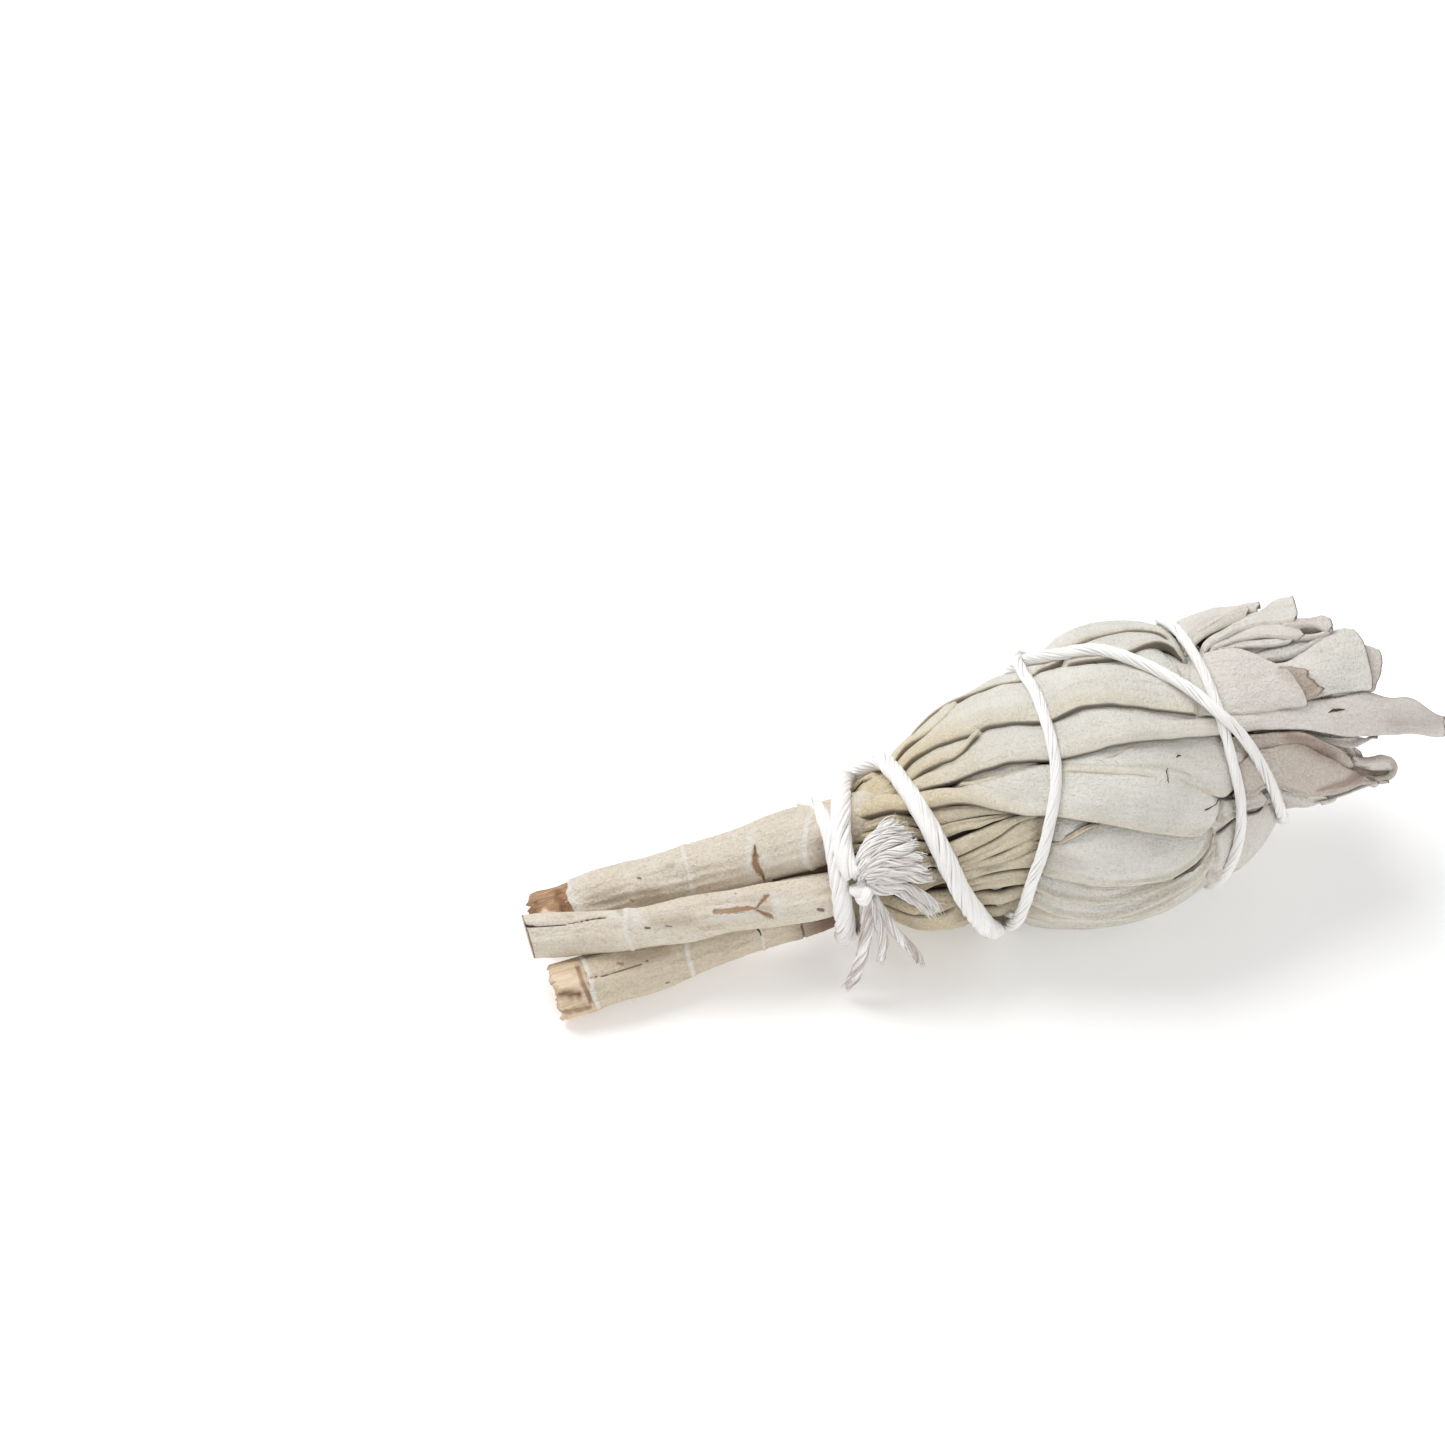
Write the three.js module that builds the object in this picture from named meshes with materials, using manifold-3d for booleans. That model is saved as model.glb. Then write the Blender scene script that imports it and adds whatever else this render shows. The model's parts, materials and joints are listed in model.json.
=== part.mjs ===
// A smudge stick: three cut stalks of white sage, their leaves pressed into a spindle-shaped head,
// bound with one soft cotton string that winds up to the tip and crosses back to a knot at the neck.
// Millimetres, +Z up. It lies on its belly and its stem ends, with +X from the stem ends to the leaf tips.
import * as THREE from "three";
import { mergeVertices } from "three/addons/utils/BufferGeometryUtils.js";
import Module from "manifold-3d";

const wasm = await Module();
wasm.setup();

// Driving dimensions. x runs along the bundle's axis from the neck, where the string is tied.
// A turn is an angle about that axis in degrees: 0 is up, 90 is towards -Y, 180 is down.
const NECK_HEIGHT = 13.3; // of the axis above the table, at the neck
const TILT = 8.1; // degrees by which the axis rises towards the leaf tips
const FRONT_TURN = 41; // the turn that looks to the front and above
const GAP = 0.3; // kept between pieces that touch
const STRING_RADIUS = [[10, 1.35], [28, 1.25], [50, 1.1]]; // [x, radius]: pulled thinner over the head
const STRING_STEP = 18; // degrees of turn for each straight bit of string
const STRING_STEPS = 119;
const STRING_SINK = 0.6; // how far the string bites into the leaves
const CORE_DEPTH = 2.0; // from the bundle's outline down to the packed inner leaves
const CORE_FROM = -1.2;
const CORE_END = 60;
const ROOT_DEPTH = 3.0; // how far down a leaf's root reaches, into the inner leaves
const BLADE = 0.8; // thickness of a free leaf tip
const PINCH = { depth: 1.2, from: 3.5, to: 8.5 }; // the leaves are squeezed in under the string at the neck
const RIDGES = 36; // leaf bases that fan out from the neck all the way round

// [x, radius of the bundle] and [x, how far its middle lies off the straight axis, towards the lower front]
const OUTLINE = [
  [-4, 8.2], [-1, 8.4], [5, 9.8], [9, 11.3], [12.7, 12.4], [19, 14.2], [25.4, 16.2], [31.8, 17.9], [38, 19.0],
  [44.5, 17.7], [50.8, 15.9], [57, 13.9], [60.3, 13.3], [66, 12.6], [72.4, 10.8], [80, 7.6],
];
const SWAY = [
  [-4, 0.9], [5, 1.5], [9, 1.8], [12.7, 1.3], [19, 0.2], [25.4, 0.8], [31.8, 0.9], [38, 0], [50.8, -0.9],
  [57, -2.6], [66, -2.3], [80, -1.4],
];

// Stems: [x, y, z, radius] down the middle, the x of each leaf joint's ring, the leaf scars as [x, turn],
// and how far the broken end's splinters reach
const STEMS = {
  stem_upper: {
    line: [
      [-38.7, 7.8, -4.9, 3.3], [-30, 5.9, -2.0, 3.4], [-13, 2.3, 2.0, 3.5], [-2, 0.1, 4.6, 3.8],
      [6, -0.1, 4.9, 3.4], [15, 0.2, 4.7, 3.0], [44, 0.4, 4.6, 2.2],
    ],
    rings: [-33.6, -18.4, -2.2],
    scars: [[-9.3, 30]],
    torn: 0.5,
  },
  stem_middle: {
    line: [
      [-39.8, 0.4, 0.5, 2.9], [-27, -3.5, 1.0, 2.7], [-13, -5.3, 0.9, 2.75], [-2, -6.35, 0.3, 2.9],
      [6, -6.0, 0, 2.8], [15, -5.3, 0, 2.5], [44, -4.6, 0, 2.0],
    ],
    rings: [-27.2],
    scars: [[-9.5, 60]],
    torn: 0.15,
  },
  stem_lower: {
    line: [
      [-38.8, -5.9, -4.95, 3.3], [-25, -5.15, -5.2, 3.1], [-12, -3.1, -5.95, 3.0], [-2, -2.7, -6.4, 2.9],
      [6, -2.1, -5.8, 2.9], [15, -1.5, -5.1, 2.8], [44, -1.0, -4.6, 2.0],
    ],
    rings: [-34, -21, -11],
    scars: [[-6.5, 75]],
    torn: 0.6,
  },
};
const STEM_SIDES = 12;
const RING_RISE = 0.3;
const SCAR_DIP = 0.45;

// Leaves: stations of [x, turn of the tucked upper edge, turn of the showing lower edge].
// They overlap like shingles, each lower edge lying on the next leaf down. lift raises or sinks a whole leaf.
const LEAVES = {
  upper: [
    { lift: 0, stations: [[20, -95, -44], [30, -95, -40], [38, -85, -30], [44, -75, -27], [49, -60, -26], [53, -48, -30]] },
    { lift: 0.1, stations: [[22, -55, -40], [31, -48, -30], [38, -40, -13], [43, -38, -11], [47, -36, -12], [51, -30, -9]] },
    { lift: 0.2, stations: [[3, -30, -19], [9, -32, -18], [14, -42, -8], [19, -50, 0], [25, -50, 3], [32, -45, 8], [38, -32, 13], [44.5, -26, 20], [51, -22, 28]] },
    { lift: 0, stations: [[49, -24, 29], [54, -18, 35], [57, -11, 42], [60.3, 1, 44], [63.5, 15, 47], [65.3, 30, 44]] },
    { lift: 0, stations: [[3, 0, 10], [14, 2, 12], [19, -5, 20], [25, -8, 22], [32, -5, 27], [38, 0, 31], [44.5, 8, 36], [50, 16, 39], [55, 26, 49], [60.3, 38, 56], [64, 45, 57], [67, 48, 56]] },
    { lift: -0.2, stations: [[48, -56, -25], [54, -58, -28], [58, -54, -30], [61.3, -48, -36]] },
    { lift: 0.1, stations: [[48, -38, -15], [52, -36, -14], [55.3, -28, -20]] },
    { lift: -0.4, stations: [[50, -30, -7], [57, -36, -9], [61, -41, -10], [65.6, -47, -11]] },
    { lift: -1.0, stations: [[52, -18, 4], [60, -18, 6], [63.5, -10, 5], [65.4, -5, 3]] },
    { lift: -1.6, stations: [[56, -24, -3], [66, -16, -2], [69.6, -14, -3]] },
    { lift: -2.2, stations: [[54, -8, 14], [62, -4, 14], [67, -1, 10]] },
    { lift: -1.2, stations: [[56, 4, 44], [63.5, 8, 42], [68, 3, 45], [72.5, 5, 46]] },
    { lift: -2.4, stations: [[58, 10, 44], [70, 14, 40], [74.8, 22, 36]] },
  ],
  middle: [
    { lift: 0.1, stations: [[3, 12, 21], [12.7, 12, 22], [16, 14, 27], [19, 13, 34], [22, 12, 40], [28.6, 13, 49], [35, 16, 59], [41.3, 22, 71], [44.5, 27, 78], [48, 33, 84], [50.8, 40, 76]] },
    { lift: -0.3, stations: [[46, 30, 74], [50, 36, 74], [52.6, 42, 70], [54.4, 52, 62]] },
    { lift: 0, stations: [[7.6, 49, 59], [14, 52, 69], [19, 54, 75], [25.4, 34, 74], [31.8, 42, 83], [38, 54, 91], [41.3, 60, 95], [44.5, 66, 94], [48.5, 78, 88]] },
    { lift: -0.8, stations: [[58, 34, 70], [66, 40, 71], [72.4, 42, 80], [76, 50, 92], [80.2, 74, 100]] },
    { lift: 0, stations: [[49, 48, 92], [54.6, 47, 92], [58, 51, 98], [62, 57, 107], [66.5, 74, 114], [71.6, 95, 120]] },
  ],
  lower: [
    { lift: -0.1, stations: [[9, 68, 78], [14, 72, 82], [19, 74, 89], [25.4, 68, 90], [31.8, 75, 96], [38, 82, 98], [41.3, 85, 98], [44.5, 86, 95], [48, 82, 90]] },
    { lift: -0.1, stations: [[9, 79, 90], [14, 82, 94], [19, 85, 101], [25.4, 86, 103], [31.8, 91, 109], [38, 93, 109], [44.5, 90, 104], [48.5, 86, 98]] },
    { lift: -0.1, stations: [[9, 91, 104], [19, 97, 115], [25.4, 98, 121], [32, 104, 129], [38, 104, 129], [44.5, 99, 121], [49.5, 93, 108]] },
    { lift: 0, stations: [[9, 103, 116], [19, 110, 133], [28, 116, 145], [38, 119, 149], [46, 112, 138], [50.5, 105, 120]] },
    { lift: 0, stations: [[42, 104, 152], [48, 90, 152], [51, 84, 148], [53, 87, 140], [54.8, 94, 126]] },
    { lift: -0.4, stations: [[50, 96, 136], [56, 84, 128], [61, 98, 134], [66, 106, 134], [70.5, 113, 131]] },
  ],
};

// Leaves on the side that faces away from the front, each [turn of its middle, half its width in degrees, x of its tip]
const BACK_LEAVES = {
  lower: [[160, 17, 56], [184, 16, 51], [207, 15, 62], [230, 17, 54]],
  upper: [[252, 15, 65], [273, 17, 56], [295, 14, 60]],
};
// Leaf tips inside the open end, as rings of [height below the outline, how many, x of their ends]
const TIP_RINGS = { upper: [[-3.4, 4, 70], [-6.6, 3, 73]], middle: [[-3.6, 3, 71], [-7, 1, 75]], lower: [[-3, 5, 68], [-6.4, 3, 71]] };
const BACK_TIPS = { lower: [[150, 68], [176, 64], [202, 71], [228, 66]], upper: [[254, 72], [280, 66], [304, 70]] };
// Turns about the axis that each stalk's leaves take up
const SECTORS = { upper: [-106, 46], middle: [36, 90], lower: [78, 258] };

// The string's way as [turn, x], always winding on: from the knot round the neck, up the head and back
const STRING = [
  [69, 2.5], [100, 2.0], [131, 1.6], [221, -0.1], [311, -1.3], [356, -0.1], [401, 0.4], [446, -1.4], [491, -1.5],
  [580, 3.0], [671, 7.4], [716, 10.5], [761, 13.2], [806, 15.9], [851, 17.9],
  [941, 24], [1000, 28], [1031, 30.4], [1058, 35.5], [1068, 40], [1081, 44.6], [1093, 47.6], [1107, 50.2], [1123, 52.8],
  [1150, 54.9], [1190, 56.3], [1212, 56.8], [1302, 53],
  [1391, 48.8], [1420, 49.8], [1450, 50.8], [1487, 51], [1518, 50.6], [1545, 48.6], [1571, 45.9],
  [1622, 45], [1661, 41], [1706, 35], [1751, 29.8], [1800, 29.9], [1829, 29.1], [1854, 26], [1880, 22.6], [1908, 20.6],
  [1950, 18.6], [2022, 12], [2111, 4.4], [2150, 3.9], [2180, 2.7], [2201, 2.2], [2217, 2.1],
];
// Where the string climbs over an earlier turn of itself: [turn, degrees either side, rise]
const CROSSINGS = [[1112, 28, 2.6], [1746, 26, 2.6], [2226, 70, 3.0]];
const KNOT = { turn: 62, x: 2.2, height: 2.4, size: [2.3, 2.4, 2.5] };
// Frayed yarns: [x, turn, height] from the knot to the end
const YARNS = [
  [[2, 66, 1.9], [5, 42, 2.4], [9.5, 28, 1.7]],
  [[2, 66, 1.9], [6.5, 50, 2.4], [11.4, 42, 1.5]],
  [[2, 66, 1.9], [8, 62, 2.2], [12.4, 58, 1.2]],
  [[2, 66, 1.9], [7, 78, 2.3], [11.6, 92, 1.5]],
];
const YARN_RADIUS = 0.62;
// Loose ends: [x, y, height above the table] as they drop from the knot, clear of the leaves
const TAILS = [
  { radius: 0.8, line: [[2.0, -10.6, 16.6], [1.3, -13.1, 12], [0, -13.4, 5.6], [-1.6, -12.5, 1.0]] },
  { radius: 0.65, line: [[2.6, -10.6, 16.6], [5.2, -13.1, 11.5], [7.9, -12.5, 6], [9.6, -10.8, 1.0]] },
  { radius: 0.65, line: [[2.2, -10.6, 16.6], [3.2, -13.4, 12.4], [3.3, -13.9, 9], [2.7, -13.9, 6.6]] },
];

const COLOURS = { stem: 0xc9bda4, leaf: 0xc6c3b4, string: 0xece8e4 };

const radians = THREE.MathUtils.degToRad;
const mix = THREE.MathUtils.lerp;

// A smooth curve through [x, value] pairs, level beyond both ends
function through(pairs, x, column = 1) {
  const last = pairs.length - 1;
  if (x <= pairs[0][0]) return pairs[0][column];
  if (x >= pairs[last][0]) return pairs[last][column];
  let i = 0;
  while (x > pairs[i + 1][0]) i += 1;
  const slope = (k) => (pairs[k + 1][column] - pairs[k][column]) / (pairs[k + 1][0] - pairs[k][0]);
  const here = slope(i);
  const into = i > 0 ? (slope(i - 1) + here) / 2 : here;
  const out = i < last - 1 ? (slope(i + 1) + here) / 2 : here;
  const span = pairs[i + 1][0] - pairs[i][0];
  const t = (x - pairs[i][0]) / span;
  const start = pairs[i][column] * (1 + 2 * t) * (1 - t) ** 2 + into * span * t * (1 - t) ** 2;
  return start + pairs[i + 1][column] * t * t * (3 - 2 * t) + out * span * t * t * (t - 1);
}

// A repeatable draw of numbers from 0 to 1
function drawFrom(seed) {
  let state = seed;
  return () => {
    state = (state * 1664525 + 1013904223) % 4294967296;
    return state / 4294967296;
  };
}

// The point at a turn about the bundle's axis, at a height above or below its outline
function onBundle(x, turn, height) {
  const r = Math.max(through(OUTLINE, x) + height, 0.25);
  const sway = through(SWAY, x);
  const off = radians(FRONT_TURN + 90);
  const a = radians(turn);
  return new THREE.Vector3(x, -sway * Math.sin(off) - r * Math.sin(a), sway * Math.cos(off) + r * Math.cos(a));
}

function solid(geometry) {
  const bare = geometry.index ? geometry.toNonIndexed() : geometry;
  bare.deleteAttribute("normal");
  bare.deleteAttribute("uv");
  const merged = mergeVertices(bare, 1e-4);
  const made = new wasm.Manifold(
    new wasm.Mesh({ numProp: 3, vertProperties: merged.attributes.position.array, triVerts: merged.index.array }),
  );
  return made.volume() < 0 ? insideOut(merged) : made;
}

function insideOut(merged) {
  const turned = merged.index.array.slice();
  for (let i = 0; i < turned.length; i += 3) [turned[i + 1], turned[i + 2]] = [turned[i + 2], turned[i + 1]];
  return new wasm.Manifold(
    new wasm.Mesh({ numProp: 3, vertProperties: merged.attributes.position.array, triVerts: turned }),
  );
}

// Moves every corner of a geometry to place(x, y, z)
function shaped(geometry, place) {
  const corners = geometry.attributes.position;
  for (let i = 0; i < corners.count; i += 1) {
    const p = place(corners.getX(i), corners.getY(i), corners.getZ(i));
    corners.setXYZ(i, p.x, p.y, p.z);
  }
  return geometry;
}

function pinch(x) {
  return PINCH.depth * (1 - THREE.MathUtils.smoothstep(x, PINCH.from, PINCH.to));
}

// A leaf pressed onto the bundle: domed across, rooted in the inner leaves, and a thin blade where it runs free
function leafSolid(leaf, grow = 0) {
  const { stations, lift, crown = 0.5, tuck = 1.2, root = -ROOT_DEPTH, across = 3 } = leaf;
  const from = stations[0][0] - grow;
  const to = stations[stations.length - 1][0] + grow;
  const along = leaf.along ?? Math.max(3, Math.min(7, Math.round((to - from) / 5.5)));
  const box = new THREE.BoxGeometry(1, 1, 1, along, across, 1);
  return solid(
    shaped(box, (a, b, c) => {
      const x = mix(from, to, a + 0.5);
      const free = THREE.MathUtils.smoothstep(x, CORE_END - 3, CORE_END - 0.5);
      const margin = THREE.MathUtils.radToDeg(grow / through(OUTLINE, x));
      const turn = mix(through(stations, x, 1) - margin, through(stations, x, 2) + margin, b + 0.5);
      const top = lift + crown * (1 - 4 * b * b) - tuck * (0.5 - b) * (1 - 0.6 * free) - pinch(x);
      const under = mix(root - pinch(x), top - BLADE, leaf.free ? 1 : free);
      return onBundle(x, turn, c > 0 ? top + grow : under - grow);
    }),
  );
}

function backLeaf([turn, half, tip]) {
  return {
    lift: 0,
    stations: [
      [4, turn - 6, turn + 5], [14, turn - 9, turn + 6], [24, turn - half, turn + half - 4], [34, turn - half - 6, turn + half],
      [44, turn - half - 4, turn + half - 2], [tip - 5, turn - half, turn + half - 6], [tip, turn - 5, turn + 3],
    ],
  };
}

function backTip([turn, end]) {
  return {
    lift: -0.7, crown: 0.4, across: 2,
    stations: [[52, turn - 15, turn + 12], [60, turn - 14, turn + 12], [end - 3, turn - 11, turn + 10], [end, turn - 5, turn + 4]],
  };
}

// Blades that fill the open end, in rings inside one another
function tipRing([low, high], [height, count, end], draw) {
  return Array.from({ length: count }, (_, i) => {
    const step = (high - low) / count;
    const turn = low + step * (i + 0.5) + 6 * (draw() - 0.5);
    const half = step * (0.4 + 0.08 * draw());
    const tip = end + 5 * (draw() - 0.5);
    return {
      lift: height, crown: 0.3, tuck: 0.9, across: 2, along: 3, free: true,
      stations: [[CORE_END - 1.5, turn - half, turn + half], [tip - 4, turn - half, turn + half - 2], [tip, turn - half / 3, turn + half / 4]],
    };
  });
}

// The packed inner leaves, cut to a sector, with the fan of leaf bases raised from their neck end
function coreSolid(sector, grow) {
  const draw = drawFrom(4127);
  const ridges = Array.from({ length: RIDGES }, () => ({ end: 17 + 8 * draw(), aside: 3.2 * (draw() - 0.5), rise: 1.4 + 0.5 * draw() }));
  const rows = [CORE_FROM - grow, 3, 8, 13, 17, 21, 25, 36, 48, CORE_END + grow];
  const profile = [[0, rows[0]], ...rows.map((x) => [1, x]), [0, rows[rows.length - 1]]];
  const lathe = new THREE.LatheGeometry(profile.map(([r, x]) => new THREE.Vector2(r, x)), 2 * RIDGES);
  const core = shaped(lathe, (a, x, b) => {
    const column = Math.round((THREE.MathUtils.radToDeg(Math.atan2(a, b)) * RIDGES) / 180 + 4 * RIDGES);
    const { end, aside, rise } = ridges[Math.floor(column / 2) % RIDGES];
    const bump = column % 2 === 0 ? rise * (1 - THREE.MathUtils.smoothstep(x, end - 6, end)) : 0;
    const turn = (column * 180) / RIDGES + (column % 2 === 0 ? aside : 0);
    return onBundle(x, turn, Math.hypot(a, b) > 0.5 ? bump - CORE_DEPTH - pinch(x) + grow : -100);
  });
  return solid(core).intersect(sectorSolid(sector, grow));
}

// A long wedge about the bundle's axis between two turns
function sectorSolid([low, high], grow) {
  const half = radians((high - low) / 2);
  const at = (r, turn) => [-r * Math.sin(radians(turn)), r * Math.cos(radians(turn))];
  const shape = new THREE.Shape();
  shape.moveTo(...at(-grow / Math.sin(half), (low + high) / 2));
  for (let i = 0; i <= 6; i += 1) shape.lineTo(...at(40, mix(low, high, i / 6)));
  const block = new THREE.ExtrudeGeometry(shape, { depth: 100, bevelEnabled: false });
  return solid(shaped(block, (y, z, x) => new THREE.Vector3(x - 20, y, z)));
}

function joined(solids) {
  return wasm.Manifold.union(solids);
}

function largest(made) {
  return made.decompose().sort((a, b) => b.volume() - a.volume())[0];
}

function leavesOf(name, grow = 0) {
  const draw = drawFrom(name.length * 7919);
  const all = [
    ...LEAVES[name],
    ...(BACK_LEAVES[name] ?? []).map(backLeaf),
    ...(BACK_TIPS[name] ?? []).map(backTip),
    ...TIP_RINGS[name].flatMap((ring) => tipRing(SECTORS[name], ring, draw)),
  ];
  return joined([coreSolid(SECTORS[name], grow), ...all.map((leaf) => leafSolid(leaf, grow))]);
}

// A stalk: a turned profile with a ring at each leaf joint, bent along its line, with dips for the leaf scars
function stemSolid({ line, rings, scars, torn }, grow = 0) {
  const from = line[0][0];
  const to = line[line.length - 1][0];
  const places = new Set([from, to, ...line.map((p) => p[0])]);
  rings.forEach((x) => [-1.1, -0.35, 0.35, 1.1].forEach((d) => places.add(x + d)));
  scars.forEach(([x]) => [-1.6, 0, 1.6].forEach((d) => places.add(x + d)));
  const xs = [...places].filter((x) => x >= from && x <= to).sort((a, b) => a - b);
  const rise = (x) => rings.reduce((sum, r) => sum + RING_RISE * Math.max(0, 1 - ((x - r) / 1.1) ** 2), 0);
  const profile = [
    new THREE.Vector2(0, from - grow),
    ...xs.map((x, i) => new THREE.Vector2(through(line, x, 3) + rise(x) + grow, x + (i === 0 ? -grow : i === xs.length - 1 ? grow : 0))),
    new THREE.Vector2(0, to + grow),
  ];
  return solid(
    shaped(new THREE.LatheGeometry(profile, STEM_SIDES), (a, x, b) => {
      const turn = Math.atan2(a, b);
      let r = Math.hypot(a, b);
      scars.forEach(([at, face]) => {
        const aside = Math.abs(((THREE.MathUtils.radToDeg(turn) - face + 540) % 360) - 180);
        if (grow === 0 && Math.abs(x - at) < 0.5 && aside < 28) r -= SCAR_DIP;
      });
      const ragged = x < from + 0.2 && r > 0.1 ? torn * Math.sin(3 * turn + from) : 0;
      return new THREE.Vector3(x + ragged, through(line, x, 1) - r * Math.sin(turn), through(line, x, 2) + r * Math.cos(turn));
    }),
  );
}

function circle(radius, sides) {
  const shape = new THREE.Shape();
  for (let i = 0; i < sides; i += 1) {
    const a = (2 * Math.PI * i) / sides;
    shape[i ? "lineTo" : "moveTo"](radius * Math.cos(a), radius * Math.sin(a));
  }
  return shape;
}

function tube(points, radius, sides, steps) {
  const path = new THREE.CatmullRomCurve3(points, false, "centripetal");
  return solid(new THREE.ExtrudeGeometry(circle(radius, sides), { steps, extrudePath: path, bevelEnabled: false }));
}

function stringRadius(x) {
  return through(STRING_RADIUS, x);
}

function stringPoint(turn) {
  const rise = CROSSINGS.reduce((sum, [at, reach, height]) => {
    const off = (turn - at) / reach;
    return sum + height * Math.max(0, 1 - off * off) ** 2;
  }, 0);
  const x = through(STRING, turn);
  return onBundle(x, turn, stringRadius(x) - STRING_SINK + rise);
}

function stringRun(from, to, grow) {
  const rod = new THREE.CylinderGeometry(1, 1, 1, 6, Math.round((to - from) / STRING_STEP));
  return solid(
    shaped(rod, (a, along, b) => {
      const turn = mix(from, to, along + 0.5);
      const ahead = stringPoint(turn + 2).sub(stringPoint(turn - 2)).normalize();
      const out = new THREE.Vector3(0, -Math.sin(radians(turn)), Math.cos(radians(turn)));
      const side = new THREE.Vector3().crossVectors(ahead, out).normalize();
      const up = new THREE.Vector3().crossVectors(side, ahead);
      const radius = stringRadius(through(STRING, turn)) + grow;
      return stringPoint(turn).addScaledVector(side, a * radius).addScaledVector(up, b * radius);
    }),
  );
}

// The room that the string takes up, as runs that don't cross themselves, with a ball over each join
function stringRoom() {
  const stops = [0, 18, 68, STRING_STEPS].map((i) => STRING[0][0] + i * STRING_STEP);
  const runs = stops.slice(1).map((stop, i) => stringRun(stops[i], stop, GAP));
  const balls = stops.slice(1, 3).map((stop) => {
    const radius = stringRadius(through(STRING, stop)) + 1.6 * GAP;
    return ball([radius, radius, radius], stringPoint(stop));
  });
  return joined([...runs, ...balls, ...looseEnds(GAP)]);
}

function ball([a, b, c], centre) {
  const round = new THREE.IcosahedronGeometry(1, 1);
  return solid(shaped(round, (x, y, z) => new THREE.Vector3(x * a, y * b, z * c).add(centre)));
}

// A point given as x, y and a height above the table, in the bundle's own frame
function aboveTable([x, y, height]) {
  return new THREE.Vector3(x, y, height).applyMatrix4(bundle.matrix.clone().invert());
}

function looseEnds(grow) {
  const knot = ball(KNOT.size.map((n) => n + grow), onBundle(KNOT.x, KNOT.turn, KNOT.height));
  const yarns = YARNS.map((way) => tube(way.map((p) => onBundle(...p)), YARN_RADIUS + grow, 5, 5));
  const tails = TAILS.map(({ radius, line }) => tube(line.map(aboveTable), radius + grow, 5, 7));
  return [knot, ...yarns, ...tails];
}

// Everything below the table, as a block in the bundle's own frame
function tableSolid() {
  const block = new THREE.BoxGeometry(400, 400, 60).translate(0, 0, -30);
  return solid(block.applyMatrix4(bundle.matrix.clone().invert()));
}

function mesh(name, made, colour) {
  const { numProp, vertProperties, triVerts, numVert } = made.getMesh();
  const corners = new Float32Array(numVert * 3);
  for (let i = 0; i < numVert; i += 1) corners.set(vertProperties.subarray(i * numProp, i * numProp + 3), i * 3);
  const geometry = new THREE.BufferGeometry()
    .setAttribute("position", new THREE.BufferAttribute(corners, 3))
    .setIndex(new THREE.BufferAttribute(triVerts, 1));
  geometry.computeVertexNormals();
  const shown = new THREE.Mesh(geometry, new THREE.MeshStandardMaterial({ color: colour, roughness: 0.9, metalness: 0 }));
  shown.name = name;
  return shown;
}

const bundle = new THREE.Group();
bundle.rotation.y = -radians(TILT);
bundle.position.z = NECK_HEIGHT;
bundle.updateMatrix();

const table = tableSolid();
const string = joined([stringRun(STRING[0][0], STRING[0][0] + STRING_STEPS * STRING_STEP, 0), ...looseEnds(0)]);
const stringBed = stringRoom();
const stems = Object.entries(STEMS);
const stemBeds = joined(stems.map(([, stem]) => stemSolid(stem, GAP)));

for (const [name, stem] of stems) {
  bundle.add(mesh(name, largest(stemSolid(stem).subtract(stringBed).subtract(table)), COLOURS.stem));
}
let taken = joined([stringBed, stemBeds, table]);
for (const name of Object.keys(LEAVES)) {
  const leaves = leavesOf(name);
  bundle.add(mesh(`leaves_${name}`, largest(leaves.subtract(taken)), COLOURS.leaf));
  taken = joined([taken, leaves, leavesOf(name, GAP)]);
}
bundle.add(mesh("cotton_string", largest(string.subtract(table)), COLOURS.string));

// The part's origin is under the middle of its box, on the table
const part = new THREE.Group();
part.add(bundle);
part.updateMatrixWorld(true);
const extent = new THREE.Box3().setFromObject(part, true);
const middle = extent.getCenter(new THREE.Vector3());
bundle.position.add(new THREE.Vector3(-middle.x, -middle.y, -extent.min.z));

export default part;
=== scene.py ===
"""A white sage smudge stick: three cut stalks, the leaves pressed round them, and one cotton string."""
import functools
import json
import math

import bmesh
import bpy
import numpy as np
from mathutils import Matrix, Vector
from mathutils.bvhtree import BVHTree

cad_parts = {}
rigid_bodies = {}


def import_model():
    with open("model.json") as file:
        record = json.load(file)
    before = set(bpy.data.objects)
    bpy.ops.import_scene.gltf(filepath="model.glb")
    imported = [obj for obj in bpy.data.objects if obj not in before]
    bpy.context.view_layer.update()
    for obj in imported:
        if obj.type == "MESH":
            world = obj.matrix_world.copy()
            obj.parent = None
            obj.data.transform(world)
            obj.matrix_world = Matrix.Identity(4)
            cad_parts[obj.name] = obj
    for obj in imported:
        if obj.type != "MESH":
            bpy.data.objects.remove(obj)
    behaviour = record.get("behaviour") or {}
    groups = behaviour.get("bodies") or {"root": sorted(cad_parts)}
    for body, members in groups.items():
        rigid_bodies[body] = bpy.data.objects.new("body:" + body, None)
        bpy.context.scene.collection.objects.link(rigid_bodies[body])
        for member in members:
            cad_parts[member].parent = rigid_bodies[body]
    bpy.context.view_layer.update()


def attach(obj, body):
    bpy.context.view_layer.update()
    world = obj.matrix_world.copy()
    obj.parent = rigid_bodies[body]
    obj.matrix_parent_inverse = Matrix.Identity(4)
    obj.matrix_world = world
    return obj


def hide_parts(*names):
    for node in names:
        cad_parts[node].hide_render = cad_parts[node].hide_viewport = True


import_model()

bl_info = {
    "name": "Smudge stick",
    "version": (1, 0, 0),
    "blender": (4, 5, 0),
    "location": "View3D > Sidebar > Smudge stick",
    "description": "Dresses the packed smudge stick in leaves, bark and twisted string",
    "category": "Add Mesh",
}

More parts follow.
